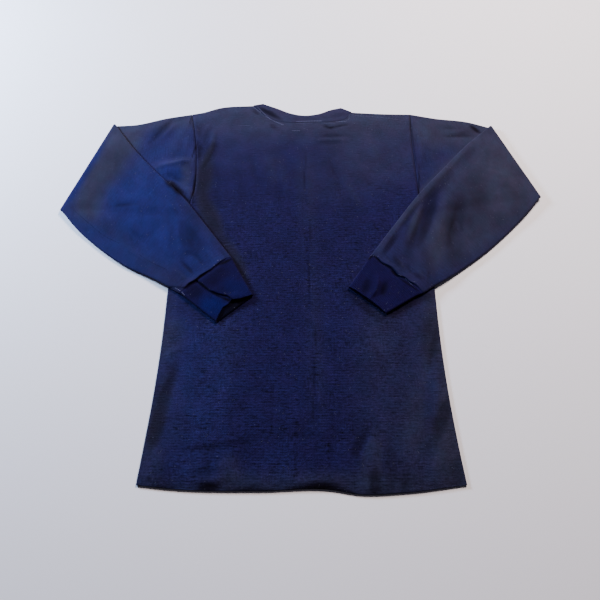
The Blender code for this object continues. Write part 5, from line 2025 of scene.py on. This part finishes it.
# %% Make the threads and the lint
on_cloth = {piece.name: [] for piece in CLOTH}
for kind, lying, material in (("stitches", pale, pale_thread),
                              ("hidden_stitches", hidden, pale_thread),
                              ("underarm_stitches", dark, dark_thread), ("lint", lint, lint_fibre)):
    for owner, (points, faces) in lying.items():
        on_cloth[owner].append(joined(owner + "_" + kind, points, faces, material))

# %% [markdown]
# ## The table and the light
#
# The table is pale and plain. A window beyond the left shoulder gives cold light from low down, so
# every crease has a bright and a dark side, and the cuffs are black along their lower edges.
# Warmer light comes from higher up beyond the neck, and the room adds very little.

# %% Table
TABLE_SIZE = 8.0
TABLE_DROP = 0.0002    # the table is this far below the plane that the garment rests on
TABLE_WHITE = (0.86, 0.86, 0.86, 1.0)
bpy.ops.mesh.primitive_plane_add(size=TABLE_SIZE, location=(0.0, 0.0, -TABLE_DROP))
table = bpy.context.object
table.name = "table"
table.data.materials.append(plain_material("table", TABLE_WHITE, roughness=0.9, shine=0.5))
print("table", TABLE_SIZE, "m wide")

# %% Lights
Lamp = namedtuple("Lamp", "name place aim size power colour")
LAMPS = [
    Lamp("window", (-1.2, 0.7, 0.56), (-0.1, 0.05, 0.0), 0.26, 52.0, (0.52, 0.67, 1.0)),
    Lamp("beyond the neck", (0.7, 1.25, 1.45), (0.1, 0.1, 0.0), 0.6, 76.0, (1.0, 0.85, 0.84)),
]
ROOM_LIGHT = (0.8, 0.75, 1.0, 1.0)
ROOM_STRENGTH = 0.05

for lamp in LAMPS:
    bpy.ops.object.light_add(type="AREA", location=lamp.place)
    light = bpy.context.object
    light.name = lamp.name
    direction = Vector(lamp.aim) - Vector(lamp.place)
    light.rotation_euler = direction.to_track_quat("-Z", "Y").to_euler()
    light.data.size = lamp.size
    light.data.energy = lamp.power
    light.data.color = lamp.colour
room = bpy.data.worlds.new("room")
room.use_nodes = True
background = room.node_tree.nodes["Background"]
background.inputs["Color"].default_value = ROOM_LIGHT
background.inputs["Strength"].default_value = ROOM_STRENGTH
bpy.context.scene.world = room
print("lamps:", [lamp.name for lamp in LAMPS])

# %% [markdown]
# ## Hand the pieces over
#
# Each piece rides on the part's only body and takes the place of one solid.

PIECES = {
    "back_panel": (back, "knit", ["front_panel"]),
    "front_panel": (front, "knit", []),
    "sleeve_left": (left_sleeve, "sleeve_knit", ["back_panel"]),
    "sleeve_right": (right_sleeve, "sleeve_knit", ["back_panel"]),
    "cuff_left": (left_cuff, "rib", ["back_panel"]),
    "cuff_right": (right_cuff, "rib", ["back_panel"]),
    "neckband": (neck_rib, "neck_rib", []),
}
for node, (piece, slot, below) in PIECES.items():
    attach(piece, "root")
    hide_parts(node)
    for small in on_cloth[piece.name]:
        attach(small, "root")
